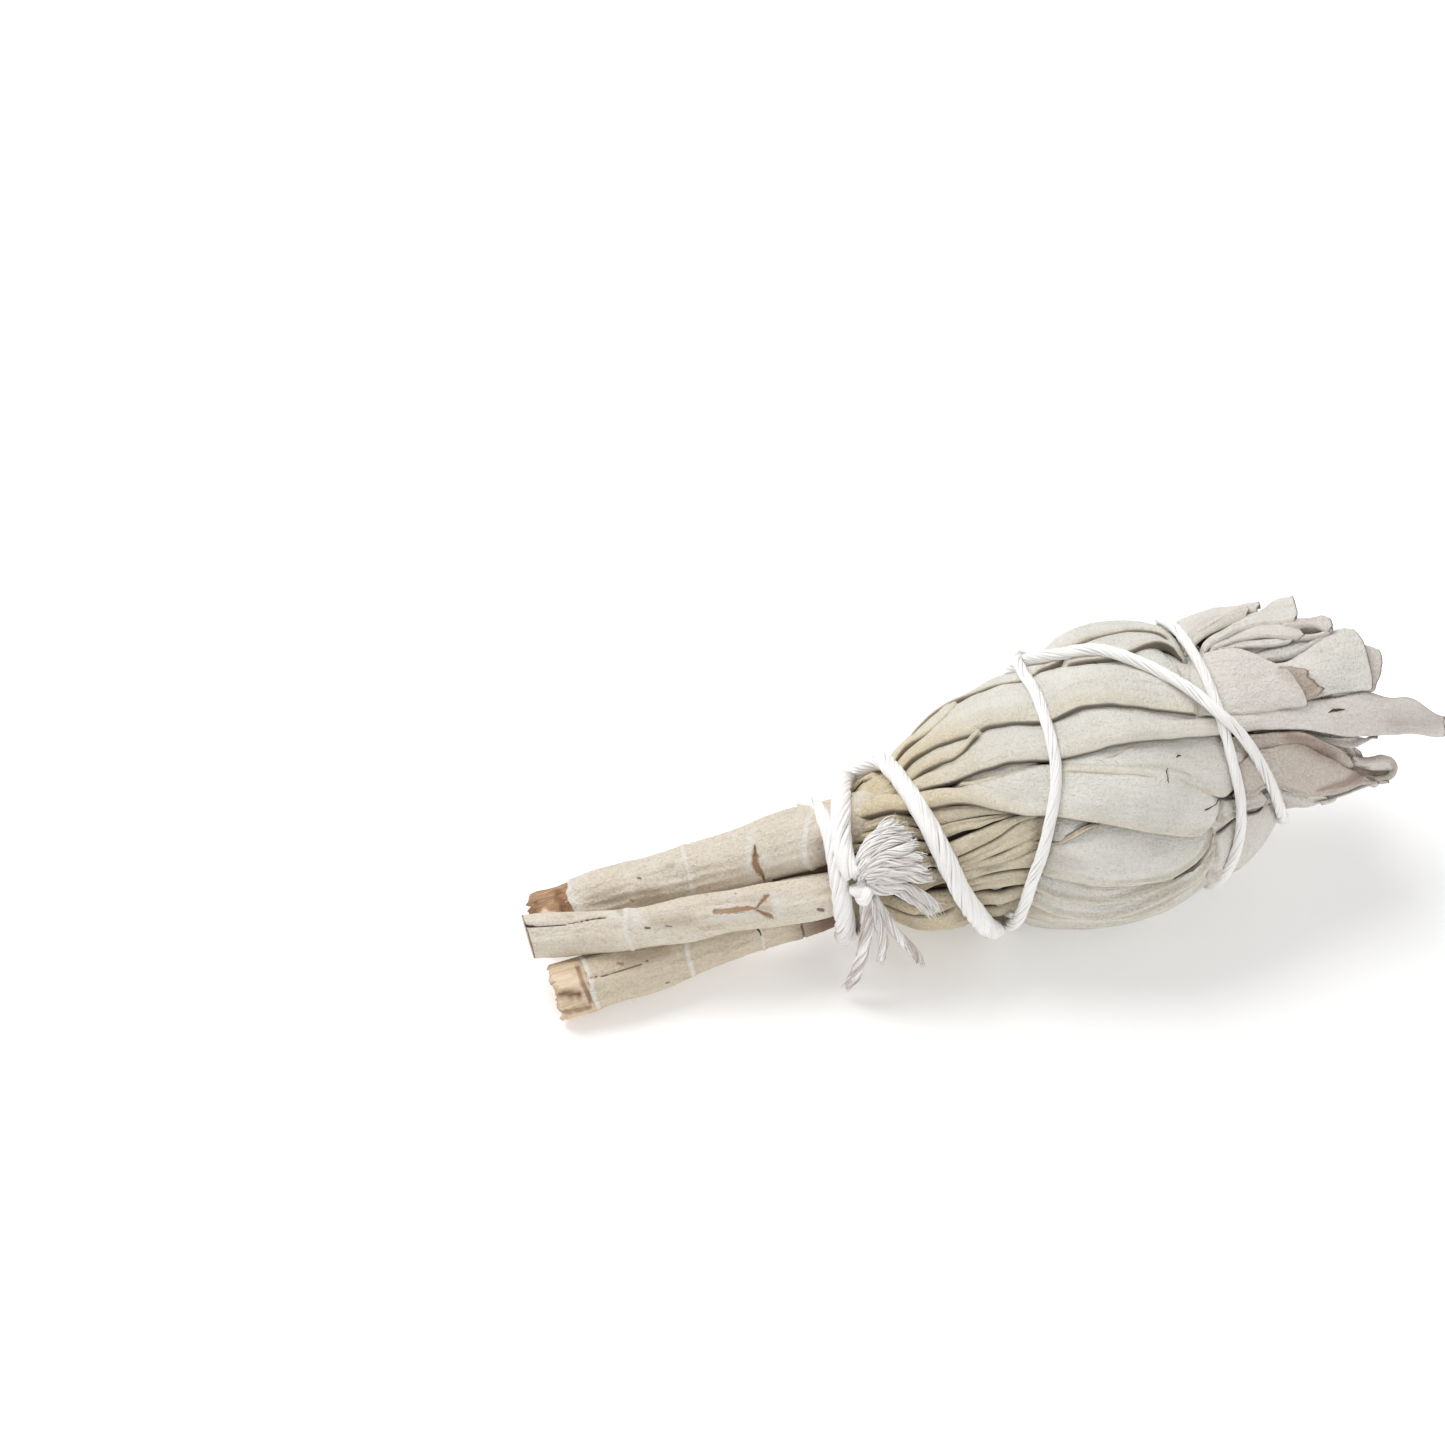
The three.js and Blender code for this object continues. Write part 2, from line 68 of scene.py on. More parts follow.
MM = 0.001

# The bundle's own frame, in millimetres: x runs along its axis from the neck, where the string is tied.
# A turn is an angle about that axis in degrees: 0 is up, 90 is towards -Y, 180 is down.
NECK = (-19.713, -0.488, 13.3)
TILT = math.radians(8.1)
FRONT_TURN = 41  # faces the camera
# The head's radius along x, and how far its middle lies off the axis, square to the front turn
OUTLINE = [
    (-4, 8.2), (-1, 8.4), (5, 9.8), (9, 11.3), (12.7, 12.4), (19, 14.2), (25.4, 16.2), (31.8, 17.9), (38, 19.0),
    (44.5, 17.7), (50.8, 15.9), (57, 13.9), (60.3, 13.3), (66, 12.6), (72.4, 10.8), (80, 7.6),
]
SWAY = [
    (-4, 0.9), (5, 1.5), (9, 1.8), (12.7, 1.3), (19, 0.2), (25.4, 0.8), (31.8, 0.9), (38, 0), (50.8, -0.9),
    (57, -2.6), (66, -2.3), (80, -1.4),
]

# Stalks: (x, y, z, radius) down the middle
STEM_LINES = {
    "stem_upper": [
        (-38.7, 7.6, -5.2, 3.3), (-30, 5.7, -2.4, 3.4), (-13, 2.2, 1.5, 3.75), (-6, 0.9, 3.4, 4.1),
        (-2, 0.1, 4.3, 4.3), (6, -0.1, 4.9, 3.7), (15, 0.2, 4.7, 3.0), (44, 0.4, 4.6, 2.2),
    ],
    "stem_middle": [
        (-39.8, 0.4, 0.5, 2.9), (-27, -3.5, 1.0, 2.7), (-13, -5.3, 0.9, 2.75), (-2, -6.35, 0.3, 2.9),
        (6, -6.0, 0, 2.8), (15, -5.3, 0, 2.5), (44, -4.6, 0, 2.0),
    ],
    "stem_lower": [
        (-38.8, -5.8, -4.35, 3.7), (-25, -5.1, -4.75, 3.45), (-12, -3.1, -5.85, 3.1), (-2, -2.7, -6.4, 2.9),
        (6, -2.1, -5.8, 2.9), (15, -1.5, -5.1, 2.8), (44, -1.0, -4.6, 2.0),
    ],
}
# Where each stalk's bark starts, as (turn, x) round it, and its marks: what, how deep, (x, turn, half width) along;
# the dark marks are cracks and notches painted with shade
STEM_MARKS = {
    "stem_upper": {
        "bark": [(-180, -33.2), (-24, -32.8), (6, -33.4), (30, -33.5), (51, -33.0), (180, -33.2)],
        "strokes": [
            ("ring", 0, [(-32.5, -40, 0.25), (-33.0, 6, 0.35), (-32.9, 30, 0.5), (-32.3, 51, 0.6),
                (-32.3, 80, 0.35)]),
            ("ring", 0, [(-17.6, -60, 0.24), (-17.9, -4, 0.24), (-18.0, 40, 0.2), (-18.1, 74, 0.26),
                (-17.8, 129, 0.22), (-17.7, 210, 0.2), (-17.6, 300, 0.22)]),
            ("ring", 0, [(-0.6, -50, 0.2), (-0.9, -10, 0.25), (-2.3, 17, 0.32), (-3.4, 58, 0.3), (-3.6, 82, 0.3),
                (-2.6, 125, 0.3)]),
            ("scar", 0.45, [(-9.1, 24, 0.08), (-9.4, 41, 0.38), (-9.65, 58, 0.55), (-9.5, 76, 0.5), (-9.15, 92, 0.25),
                (-9.0, 108, 0.06)]),
            ("white", 0, [(-9.3, 6, 0.4), (-10.0, 26, 0.4), (-10.6, 58, 0.35), (-10.2, 90, 0.4)]),
            ("white", 0, [(-8.6, 52, 0.4), (-8.1, 64, 0.5)]),
            ("speck", 0.15, [(-24.3, 19, 0.16), (-24.0, 23, 0.2)]),
            ("scar", 0.1, [(-25.9, 63, 0.2), (-25.6, 68, 0.18)]),
            ("stain", 0, [(-24.2, 56, 0.9), (-22.8, 60, 0.8)]),
            ("stain", 0, [(-20.3, 12, 0.3), (-19.7, 14, 0.3)]),
            ("stain", 0, [(-1.2, 55, 0.9), (-1.6, 110, 1.1)]),
            ("stain", 0, [(-30, 40, 0.8), (-27, 48, 1.0)]),
        ],
    },
    "stem_middle": {
        "bark": [(-180, -39.8), (180, -39.8)],
        "strokes": [
            ("speck", 0.0, [(-39.75, -50, 0.1), (-39.75, 20, 0.12), (-39.75, 70, 0.22), (-39.75, 120, 0.2)]),
            ("ring", 0, [(-26.4, -60, 0.22), (-27.2, -4, 0.26), (-27.7, 26, 0.26), (-27.9, 60, 0.26),
                (-27.6, 104, 0.22), (-27.3, 200, 0.2), (-26.4, 300, 0.2)]),
            ("white", 0, [(-26.3, -30, 0.9), (-26.2, 8, 0.6)]),
            ("white", 0, [(-28.9, -20, 0.4), (-28.3, 2, 0.4)]),
            ("stain", 0, [(-28.4, -44, 0.6), (-27.9, -14, 0.5)]),
            ("stain", 0, [(-24, 30, 0.6), (-20, 36, 0.7)]),
            ("dark", 0.35, [(-40.3, 6, 0.34), (-39.2, 11, 0.3), (-38.7, 12, 0.18), (-37.4, 14, 0.14),
                (-34.9, 12, 0.12), (-33.0, 4, 0.16), (-31.7, -4, 0.26), (-30.4, -6, 0.2), (-28.8, -6, 0.03)]),
            ("speck", 0.15, [(-25.4, 42, 0.2), (-24.9, 44, 0.24)]),
            ("speck", 0.1, [(-22.8, 45, 0.12), (-22.2, 50, 0.1)]),
            ("speck", 0.1, [(-13.4, -9, 0.1), (-13.1, -8, 0.1)]),
            ("stain", 0, [(-34.4, -19, 0.3), (-33.9, -17, 0.3)]),
            ("scar", 0.15, [(-16.4, 34, 0.34), (-13.9, 39, 0.48), (-12.0, 41, 0.34), (-11.3, 44, 0.1)]),
            ("scar", 0.2, [(-11.3, 45, 0.1), (-10.3, 27, 0.26), (-9.7, 17, 0.34), (-9.2, 12, 0.12)]),
            ("scar", 0.2, [(-11.3, 46, 0.1), (-10.5, 62, 0.3), (-9.9, 70, 0.42), (-9.6, 78, 0.1)]),
            ("stain", -0.3, [(-10.6, 43, 0.45), (-9.9, 45, 0.6)]),
            ("white", 0, [(-8.8, 18, 0.45), (-8.3, 44, 0.8), (-8.8, 72, 0.45)]),
            ("white", 0, [(-17, 52, 0.3), (-12, 58, 0.3)]),
            ("speck", 0.12, [(-3.7, 76, 0.34), (-3.2, 81, 0.3)]),
            *[("stain", 0.04, [(-18.9 + 0.45 * i, 66 + i, 0.08), (-18.3 + 0.45 * i, 82 + i, 0.05)])
              for i in range(7)],
        ],
    },
    "stem_lower": {
        "bark": [(-180, -34.3), (-49, -34.4), (10, -34.2), (36, -34.1), (58, -34.3), (114, -34.0), (180, -34.3)],
        "strokes": [
            ("ring", 0, [(-34.0, -40, 0.25), (-33.8, 10, 0.3), (-33.7, 36, 0.35), (-33.9, 58, 0.3),
                (-33.6, 114, 0.25)]),
            ("ring", 0, [(-20.8, -60, 0.26), (-20.8, 20, 0.28), (-21.0, 51, 0.3), (-20.9, 94, 0.26),
                (-20.8, 200, 0.2), (-20.8, 300, 0.22)]),
            ("ring", 0, [(-11.1, 0, 0.14), (-11.1, 61, 0.16), (-11.2, 97, 0.18), (-11.1, 180, 0.14)]),
            ("dark", 0.2, [(-11.5, 44, 0.14), (-11.2, 64, 0.12)]),
            ("speck", 0.2, [(-5.9, 20, 0.14), (-5.9, 67, 0.2), (-5.9, 130, 0.16)]),
            # painted shade on the bark beside the string at the neck
            ("brown", 0, [(-3.0, 50, 2.6), (-3.0, 140, 2.6)]),
            ("speck", 0.2, [(-33.7, 30, 0.1), (-31.3, 35, 0.1), (-29.3, 34, 0.12), (-27.3, 34, 0.09),
                (-25.9, 30, 0.03)]),
            ("scar", 0.1, [(-29.9, 15, 0.22), (-29.3, 21, 0.3)]),
            ("speck", 0.1, [(-24.6, 97, 0.12), (-24.1, 99, 0.12)]),
            ("stain", 0, [(-22.2, 108, 0.4), (-21.3, 117, 0.4)]),
            ("stain", 0, [(-28, 18, 0.9), (-24, 22, 0.8)]),
        ],
    },
}
# Torn and cut ends: share of the stalk's thickness, how jagged, how pale, and marks; the dark marks carve the wood and
# paint shade into it
STEM_ENDS = {
    "stem_upper": {"share": 0.9, "jag": 0.55, "hollow": 2.2, "strokes": [
        ("dark", 0.4, [(-38.4, 0, 0.9), (-38.0, 70, 0.9)]),
        ("dark", 0.2, [(-34.4, -10, 0.6), (-34.2, 70, 0.6)]),
        ("pale", 0, [(-37.0, 34, 0.5), (-35.0, 52, 0.5)]),
    ]},
    "stem_middle": {"share": 0.86, "jag": 0.05, "hollow": 0.35, "strokes": [
        ("dark", 0.1, [(-39.9, 88, 0.5), (-39.5, 116, 0.5)]),
    ]},
    "stem_lower": {"share": 0.98, "jag": 0.28, "hollow": 1.2, "pale": 0.75, "strokes": [
        ("pale", 0, [(-38.4, 16, 1.4), (-35.4, 30, 1.5)]),
        ("dark", 0.7, [(-38.2, 43, 0.4), (-37.0, 48, 0.75), (-35.8, 56, 0.7)]),
        ("dark", 0.5, [(-39.4, 12, 0.35), (-38.3, 15, 0.25)]),
        ("dark", 0.3, [(-39, 84, 0.6), (-35.6, 96, 0.7)]),
        ("dark", 0.25, [(-34.9, -6, 0.3), (-34.8, 20, 0.4), (-34.6, 60, 0.3), (-34.6, 100, 0.35)]),
    ]},
}

# Cells along and round each stalk's bark and wood
BARK_CELLS, WOOD_CELLS = (280, 70), (110, 72)
# Shares of the cells along the bark that round its edge, that show, and that close its end inside the leaves
BARK_ROUND, BARK_SHOWN, BARK_CLOSE = 0.03, 0.92, 0.01
# Where along x the bark's finer cells end, and how far it runs on inside the leaves
BARK_FINE, BARK_HIDDEN = 4, 36
# Share of the cells along the wood that line its hollow
WOOD_HOLLOW = 0.4

# The string's way as (turn, x), always winding on: from the knot round the neck, up the head and back
STRING = [
    (69, 2.5), (100, 2.0), (131, 1.6), (221, -0.1), (311, -1.3), (349, -0.1), (367, 0.2), (397, -0.1), (430, -0.6),
    (450, -0.8), (491, -0.9), (580, 3.0), (671, 7.4), (685, 9.2), (706, 10.1), (723, 10.8), (747, 11.9), (768, 12.8),
    (791, 13.7), (802, 14.3), (814, 15.1), (828, 16.0), (851, 17.5), (941, 24), (1000, 28), (1031, 30.4),
    (1058, 35.5), (1068, 40), (1081, 44.6), (1093, 47.6), (1107, 50.2), (1123, 52.8), (1150, 54.9), (1190, 56.3),
    (1212, 56.8), (1302, 53), (1391, 48.8), (1420, 49.8), (1450, 50.8), (1487, 51), (1518, 50.6), (1545, 48.6),
    (1571, 45.9), (1622, 45), (1661, 41), (1706, 35), (1751, 29.8), (1800, 29.9), (1829, 29.1), (1854, 26),
    (1880, 22.6), (1908, 20.6), (1950, 18.6), (2022, 12), (2111, 4.4), (2130, 3.6), (2155, 2.6), (2172, 1.8),
    (2187, 1.2), (2201, 1.1), (2217, 1.6),
]
STRING_END = 2211
# Its radius, by turn: drawn thin where it is tight
STRING_RADIUS = [
    (69, 1.1), (311, 0.85), (390, 1.15), (450, 1.35), (560, 1.3), (680, 1.15), (723, 1.2), (790, 1.35), (851, 1.3),
    (941, 1.0), (1031, 0.85), (1100, 0.76), (1800, 0.75), (1908, 0.8), (2022, 0.95), (2111, 1.2), (2180, 1.35),
    (2217, 1.2),
]
STRING_SINK = 0.6
# Where it climbs over an earlier turn of itself: (turn, degrees either side, rise)
CROSSINGS = [(1112, 30, 1.5), (1746, 30, 1.2), (2226, 60, 1.9)]
# How deep it presses a leaf in, and how far to its sides
PRESS_DEPTH, PRESS_REACH = 0.75, 2.1
KNOT = {"turn": 62, "x": 2.0, "height": 2.2, "size": 0.42, "radius": 0.75}
# The loose ends: radius, and (x, y, height above the table) from the knot down
TAIL_LINES = [
    (0.74, [(2.0, -10.6, 16.6), (1.3, -13.1, 12), (0, -13.4, 5.6), (-1.6, -12.5, 1.0)]),
    (0.58, [(2.6, -10.6, 16.6), (5.2, -13.1, 11.5), (7.9, -12.5, 6), (9.6, -10.8, 1.0)]),
    (0.58, [(2.2, -10.6, 16.6), (3.2, -13.4, 12.4), (3.3, -13.9, 9), (2.7, -13.9, 6.6)]),
]


def edges(heights, rows):
    """A leaf's two edges as rows of (x, turn, height) of the upper one, then of the lower one.

    The traced rows are (x, turn) of both, in tenths. The heights are one pair for the whole leaf, or a list of
    (upper, lower, for how many rows).
    """
    runs = heights if isinstance(heights, list) else [(*heights, len(rows))]
    pairs = [(upper, lower) for upper, lower, count in runs for _ in range(count)]
    return [(x0 / 10, t0 / 10, upper, x1 / 10, t1 / 10, lower)
            for (x0, t0, x1, t1), (upper, lower) in zip(rows, pairs)]


def leaf(name, group, heights, rows, **look):
    """A traced leaf: its edges, and what sets it apart.

    rim, upper_rim: (width, height) of its rolled margins, once or several times along it. torn, round: how ragged
    or rounded its end is. crown: how domed it is. curled: also curls under where it is torn. tucked, dark: how
    shaded it is. tone, blush, lilac: its colour, with a blush from -1, bluish, to 1, brown.
    """
    return {"name": name, "group": group, "rows": edges(heights, rows), **look}


EDGE = 0.9  # the share of a broad leaf's width that shows; the rest curls under
# Broad leaves from the crown down
LEAVES = [
    leaf("crown back", "upper", (-0.6, 0.1), [(131, -950, 131, -421), (192, -950, 192, -375), (257, -900, 257, -324),
        (321, -800, 321, -254), (386, -700, 386, -233)]),
    leaf("crown a", "upper", (-0.6, 0.2), [(336, -850, 336, -329), (361, -808, 361, -257), (388, -767, 388, -224),
        (416, -725, 416, -226), (444, -667, 444, -236), (471, -583, 471, -214),
        (488, -500, 488, -115)], rim=(1.2, 0.5)),
    leaf("crown b", "upper", [(-0.3, 0.2, 1), (-0.9, 0.2, 1), (-1, 0.2, 1), (-0.7, 0.2, 1), (-0.5, 0.2, 1),
        (-0.3, 0.2, 1), (-0.6, 0.2, 1), (-1, 0.2, 1)], [(339, -424, 341, -196), (363, -421, 362, -140),
        (386, -406, 383, -106), (411, -422, 406, -101), (434, -423, 429, -111), (458, -424, 452, -124),
        (482, -423, 474, -113), (499, -152, 495, -8)], rim=(0.7, 0.3)),
    leaf("shoulder fold", "upper", (-0.8, 0.2), [(100, -600, 100, -249), (119, -650, 119, -260),
        (138, -700, 138, -246), (157, -725, 157, -225), (176, -750, 176, -228), (195, -750, 195, -262),
        (214, -750, 214, -335)], rim=(1, 0.5)),
    leaf("third", "upper", [(-0.3, 0.3, 4), (-0.6, 0.3, 1), (-1, 0.4, 7)], [(99, -425, 87, -109),
        (136, -425, 124, -117), (172, -425, 161, -73), (209, -424, 197, -16), (246, -423, 234, -22),
        (282, -420, 270, 24), (317, -354, 307, 62), (351, -258, 343, 83), (386, -213, 379, 136),
        (423, -211, 417, 190), (460, -202, 455, 239), (491, 142, 493, 282)], rim=[(1.6, 0.4), (2.4, 0.42), (2.6, 0.4),
        (2.8, 0.36), (2.6, 0.32), (2.4, 0.3), (2, 0.28), (1, 0.2)]),
    leaf("slip", "upper", (-0.9, 0.1), [(98, -221, 98, 9), (114, -221, 114, 2), (131, -217, 130, 8),
        (146, -188, 145, 20), (162, -162, 161, 35), (178, -116, 176, 58), (194, -85, 192, 49), (210, -86, 208, 12),
        (226, -93, 225, -25)], rim=(1.2, 0.5)),
    leaf("fourth", "upper", [(-0.9, 0.2, 23), (-0.9, 0.9, 1)], [(96, -89, 91, 46), (126, -61, 120, 86),
        (155, -24, 149, 150), (185, -10, 178, 185), (215, -74, 207, 195), (245, -77, 237, 197), (274, -36, 266, 218),
        (304, -8, 295, 240), (333, 25, 324, 260), (362, 66, 353, 281), (391, 108, 383, 303), (421, 153, 413, 325),
        (452, 190, 444, 345), (482, 228, 475, 366), (513, 264, 506, 395), (545, 324, 537, 448), (576, 378, 568, 513),
        (607, 406, 600, 560), (637, 421, 631, 613), (668, 437, 662, 680), (700, 441, 694, 733), (732, 543, 726, 810),
        (764, 629, 760, 946), (802, 1065, 797, 1247)], rim=[(1.6, 0.4), (2.3, 0.45), (2.4, 0.45), (2.4, 0.4),
        (2.2, 0.36), (2.2, 0.34), (2.3, 0.36), (2.4, 0.4), (2.5, 0.5), (2.6, 0.6), (2.6, 0.62), (2.6, 0.62),
        (2.6, 0.5), (1.6, 0.16), (0.8, 0.1), (0.6, 0.08), (0.6, 0.08), (0.6, 0.08), (0.6, 0.06), (0.5, 0.05)],
        torn=0.3, round=0.1, curled=True),
    leaf("pocket", "middle", (-1.2, -0.4), [(164, 138, 167, 207), (193, 153, 194, 257), (222, 146, 221, 265),
        (250, 159, 249, 258), (279, 192, 276, 253)]),
    leaf("slit strip", "middle", [(-1.4, -0.4, 4), (-1.4, -0.5, 1), (-1.4, -0.4, 1)], [(306, 204, 308, 277),
        (323, 216, 326, 304), (340, 232, 344, 322), (357, 247, 362, 328), (374, 268, 380, 332),
        (391, 285, 399, 337)], rim=(0.6, 0.25)),
    leaf("fifth behind", "middle", (-1.1, -0.1), [(286, 179, 284, 282), (327, 220, 321, 334), (369, 262, 359, 396),
        (411, 292, 397, 452), (454, 321, 437, 520), (498, 362, 478, 647), (542, 479, 519, 738)], round=3.5,
        crown=0.3),
    leaf("fifth", "middle", [(-0.1, 0.3, 7), (-0.1, 0.4, 7)], [(41, -148, 32, 63), (74, -48, 66, 121),
        (108, 37, 99, 179), (141, 132, 132, 243), (174, 218, 166, 302), (208, 240, 199, 384), (242, 235, 233, 437),
        (276, 239, 266, 471), (310, 278, 300, 514), (343, 329, 334, 565), (377, 381, 368, 630), (412, 426, 403, 693),
        (448, 486, 440, 761), (485, 615, 476, 792)], rim=[(2.2, 0.7), (2.5, 0.8), (2.7, 0.8), (2.4, 0.7), (1.8, 0.5),
        (1.4, 0.3), (1.2, 0.22), (1, 0.2), (0.9, 0.18), (0.9, 0.18), (0.8, 0.18)], round=2.2, tucked=0.15,
        upper_rim=(0.5, 0.1)),
    leaf("sixth", "middle", (-1.1, 0.3), [(270, 447, 233, 740), (294, 481, 261, 769), (318, 520, 290, 808),
        (342, 566, 319, 842), (367, 616, 348, 866), (391, 663, 377, 888), (417, 715, 406, 906), (443, 761, 435, 888),
        (469, 811, 463, 820)], rim=(0.8, 0.35), crown=0.5),
    leaf("sixth fold", "middle", [(-0.1, 0.3, 1), (-0.1, 0.2, 3), (-0.1, 0.3, 1), (-0.1, 0.2, 2)], [
        (243, 584, 241, 605), (257, 584, 257, 603), (270, 580, 272, 600), (283, 564, 287, 586), (297, 547, 302, 568),
        (310, 537, 317, 557), (324, 539, 332, 560)], rim=(0.5, 0.3), blush=1),
    leaf("seventh", "lower", (-1.2, 0.2), [(229, 749, 215, 833), (257, 770, 247, 886), (286, 806, 279, 925),
        (316, 845, 310, 943), (345, 875, 341, 949), (375, 902, 372, 948), (405, 927, 404, 946), (434, 924, 435, 915),
        (463, 862, 465, 835)], rim=(1.1, 0.4)),
    leaf("eighth", "lower", [(-1.2, 0.2, 2), (-1.2, 0.1, 7)], [(218, 872, 205, 935), (248, 885, 239, 1008),
        (279, 932, 274, 1060), (309, 950, 307, 1065), (339, 956, 340, 1052), (369, 965, 373, 1040),
        (400, 960, 406, 1037), (430, 933, 440, 1028), (459, 880, 470, 900)], rim=(1.2, 0.45)),
    leaf("ninth", "lower", [(-1.6, -0.5, 2), (-1.6, -0.4, 1), (-1.6, -0.5, 2), (-1.6, -0.3, 1), (-1.6, -0.5, 1)], [
        (210, 1079, 202, 1076), (253, 1112, 250, 1238), (295, 1124, 294, 1241), (338, 1125, 337, 1222),
        (380, 1128, 380, 1184), (423, 1133, 426, 1242), (464, 1056, 466, 1095)], rim=(0.8, 0.3)),
    leaf("tenth", "lower", [(-0.8, 0, 1), (-1.1, 0, 1), (-1.2, 0, 1), (-1.4, 0, 1), (-1.3, 0, 1), (-1.1, 0, 1),
        (-1.4, 0, 1)], [(207, 1244, 207, 1420), (251, 1243, 251, 1453), (295, 1242, 295, 1467),
        (341, 1241, 341, 1465), (387, 1241, 387, 1440), (433, 1242, 433, 1377),
        (471, 1133, 471, 1260)], rim=(1.2, 0.4)),
    leaf("eleventh", "lower", (-1.2, -0.1), [(207, 1260, 207, 1580), (260, 1300, 260, 1630), (314, 1330, 314, 1650),
        (369, 1330, 369, 1640), (424, 1250, 424, 1600), (471, 1120, 471, 1480)], rim=(1, 0.4)),
    leaf("corner leaf", "lower", [(-0.8, 0.5, 3), (-0.8, 0.4, 1), (-0.8, 0.2, 1), (-0.8, 0.1, 1), (-0.8, 0, 1),
        (-0.8, -0.1, 1)], [(462, 847, 444, 1244), (476, 847, 462, 1244), (490, 852, 480, 1244), (504, 859, 497, 1244),
        (518, 871, 515, 1243), (532, 914, 532, 1243), (547, 975, 550, 1242), (563, 1071, 567, 1242)], round=0.3,
        rim=(1, 0.35), blush=0.3),
    leaf("crumple under", "lower", [(-1.7, -1.6, 3), (-1.7, -1.5, 1), (-1.7, -0.9, 1)], [(458, 645, 449, 924),
        (480, 677, 474, 1004), (502, 722, 499, 1089), (525, 793, 527, 1242), (549, 919, 550, 1245)]),
    leaf("crumple a", "middle", (-0.7, 0.2), [(494, 732, 493, 777), (506, 740, 506, 798), (519, 754, 519, 816),
        (533, 781, 533, 848), (546, 817, 546, 894)], rim=(0.6, 0.3), crown=0.7, torn=0.5),
    leaf("crumple b", "middle", (-0.9, -0.3), [(480, 669, 473, 787), (490, 693, 484, 804), (500, 722, 495, 818),
        (510, 748, 505, 831), (520, 772, 516, 849)], crown=0.6),
]
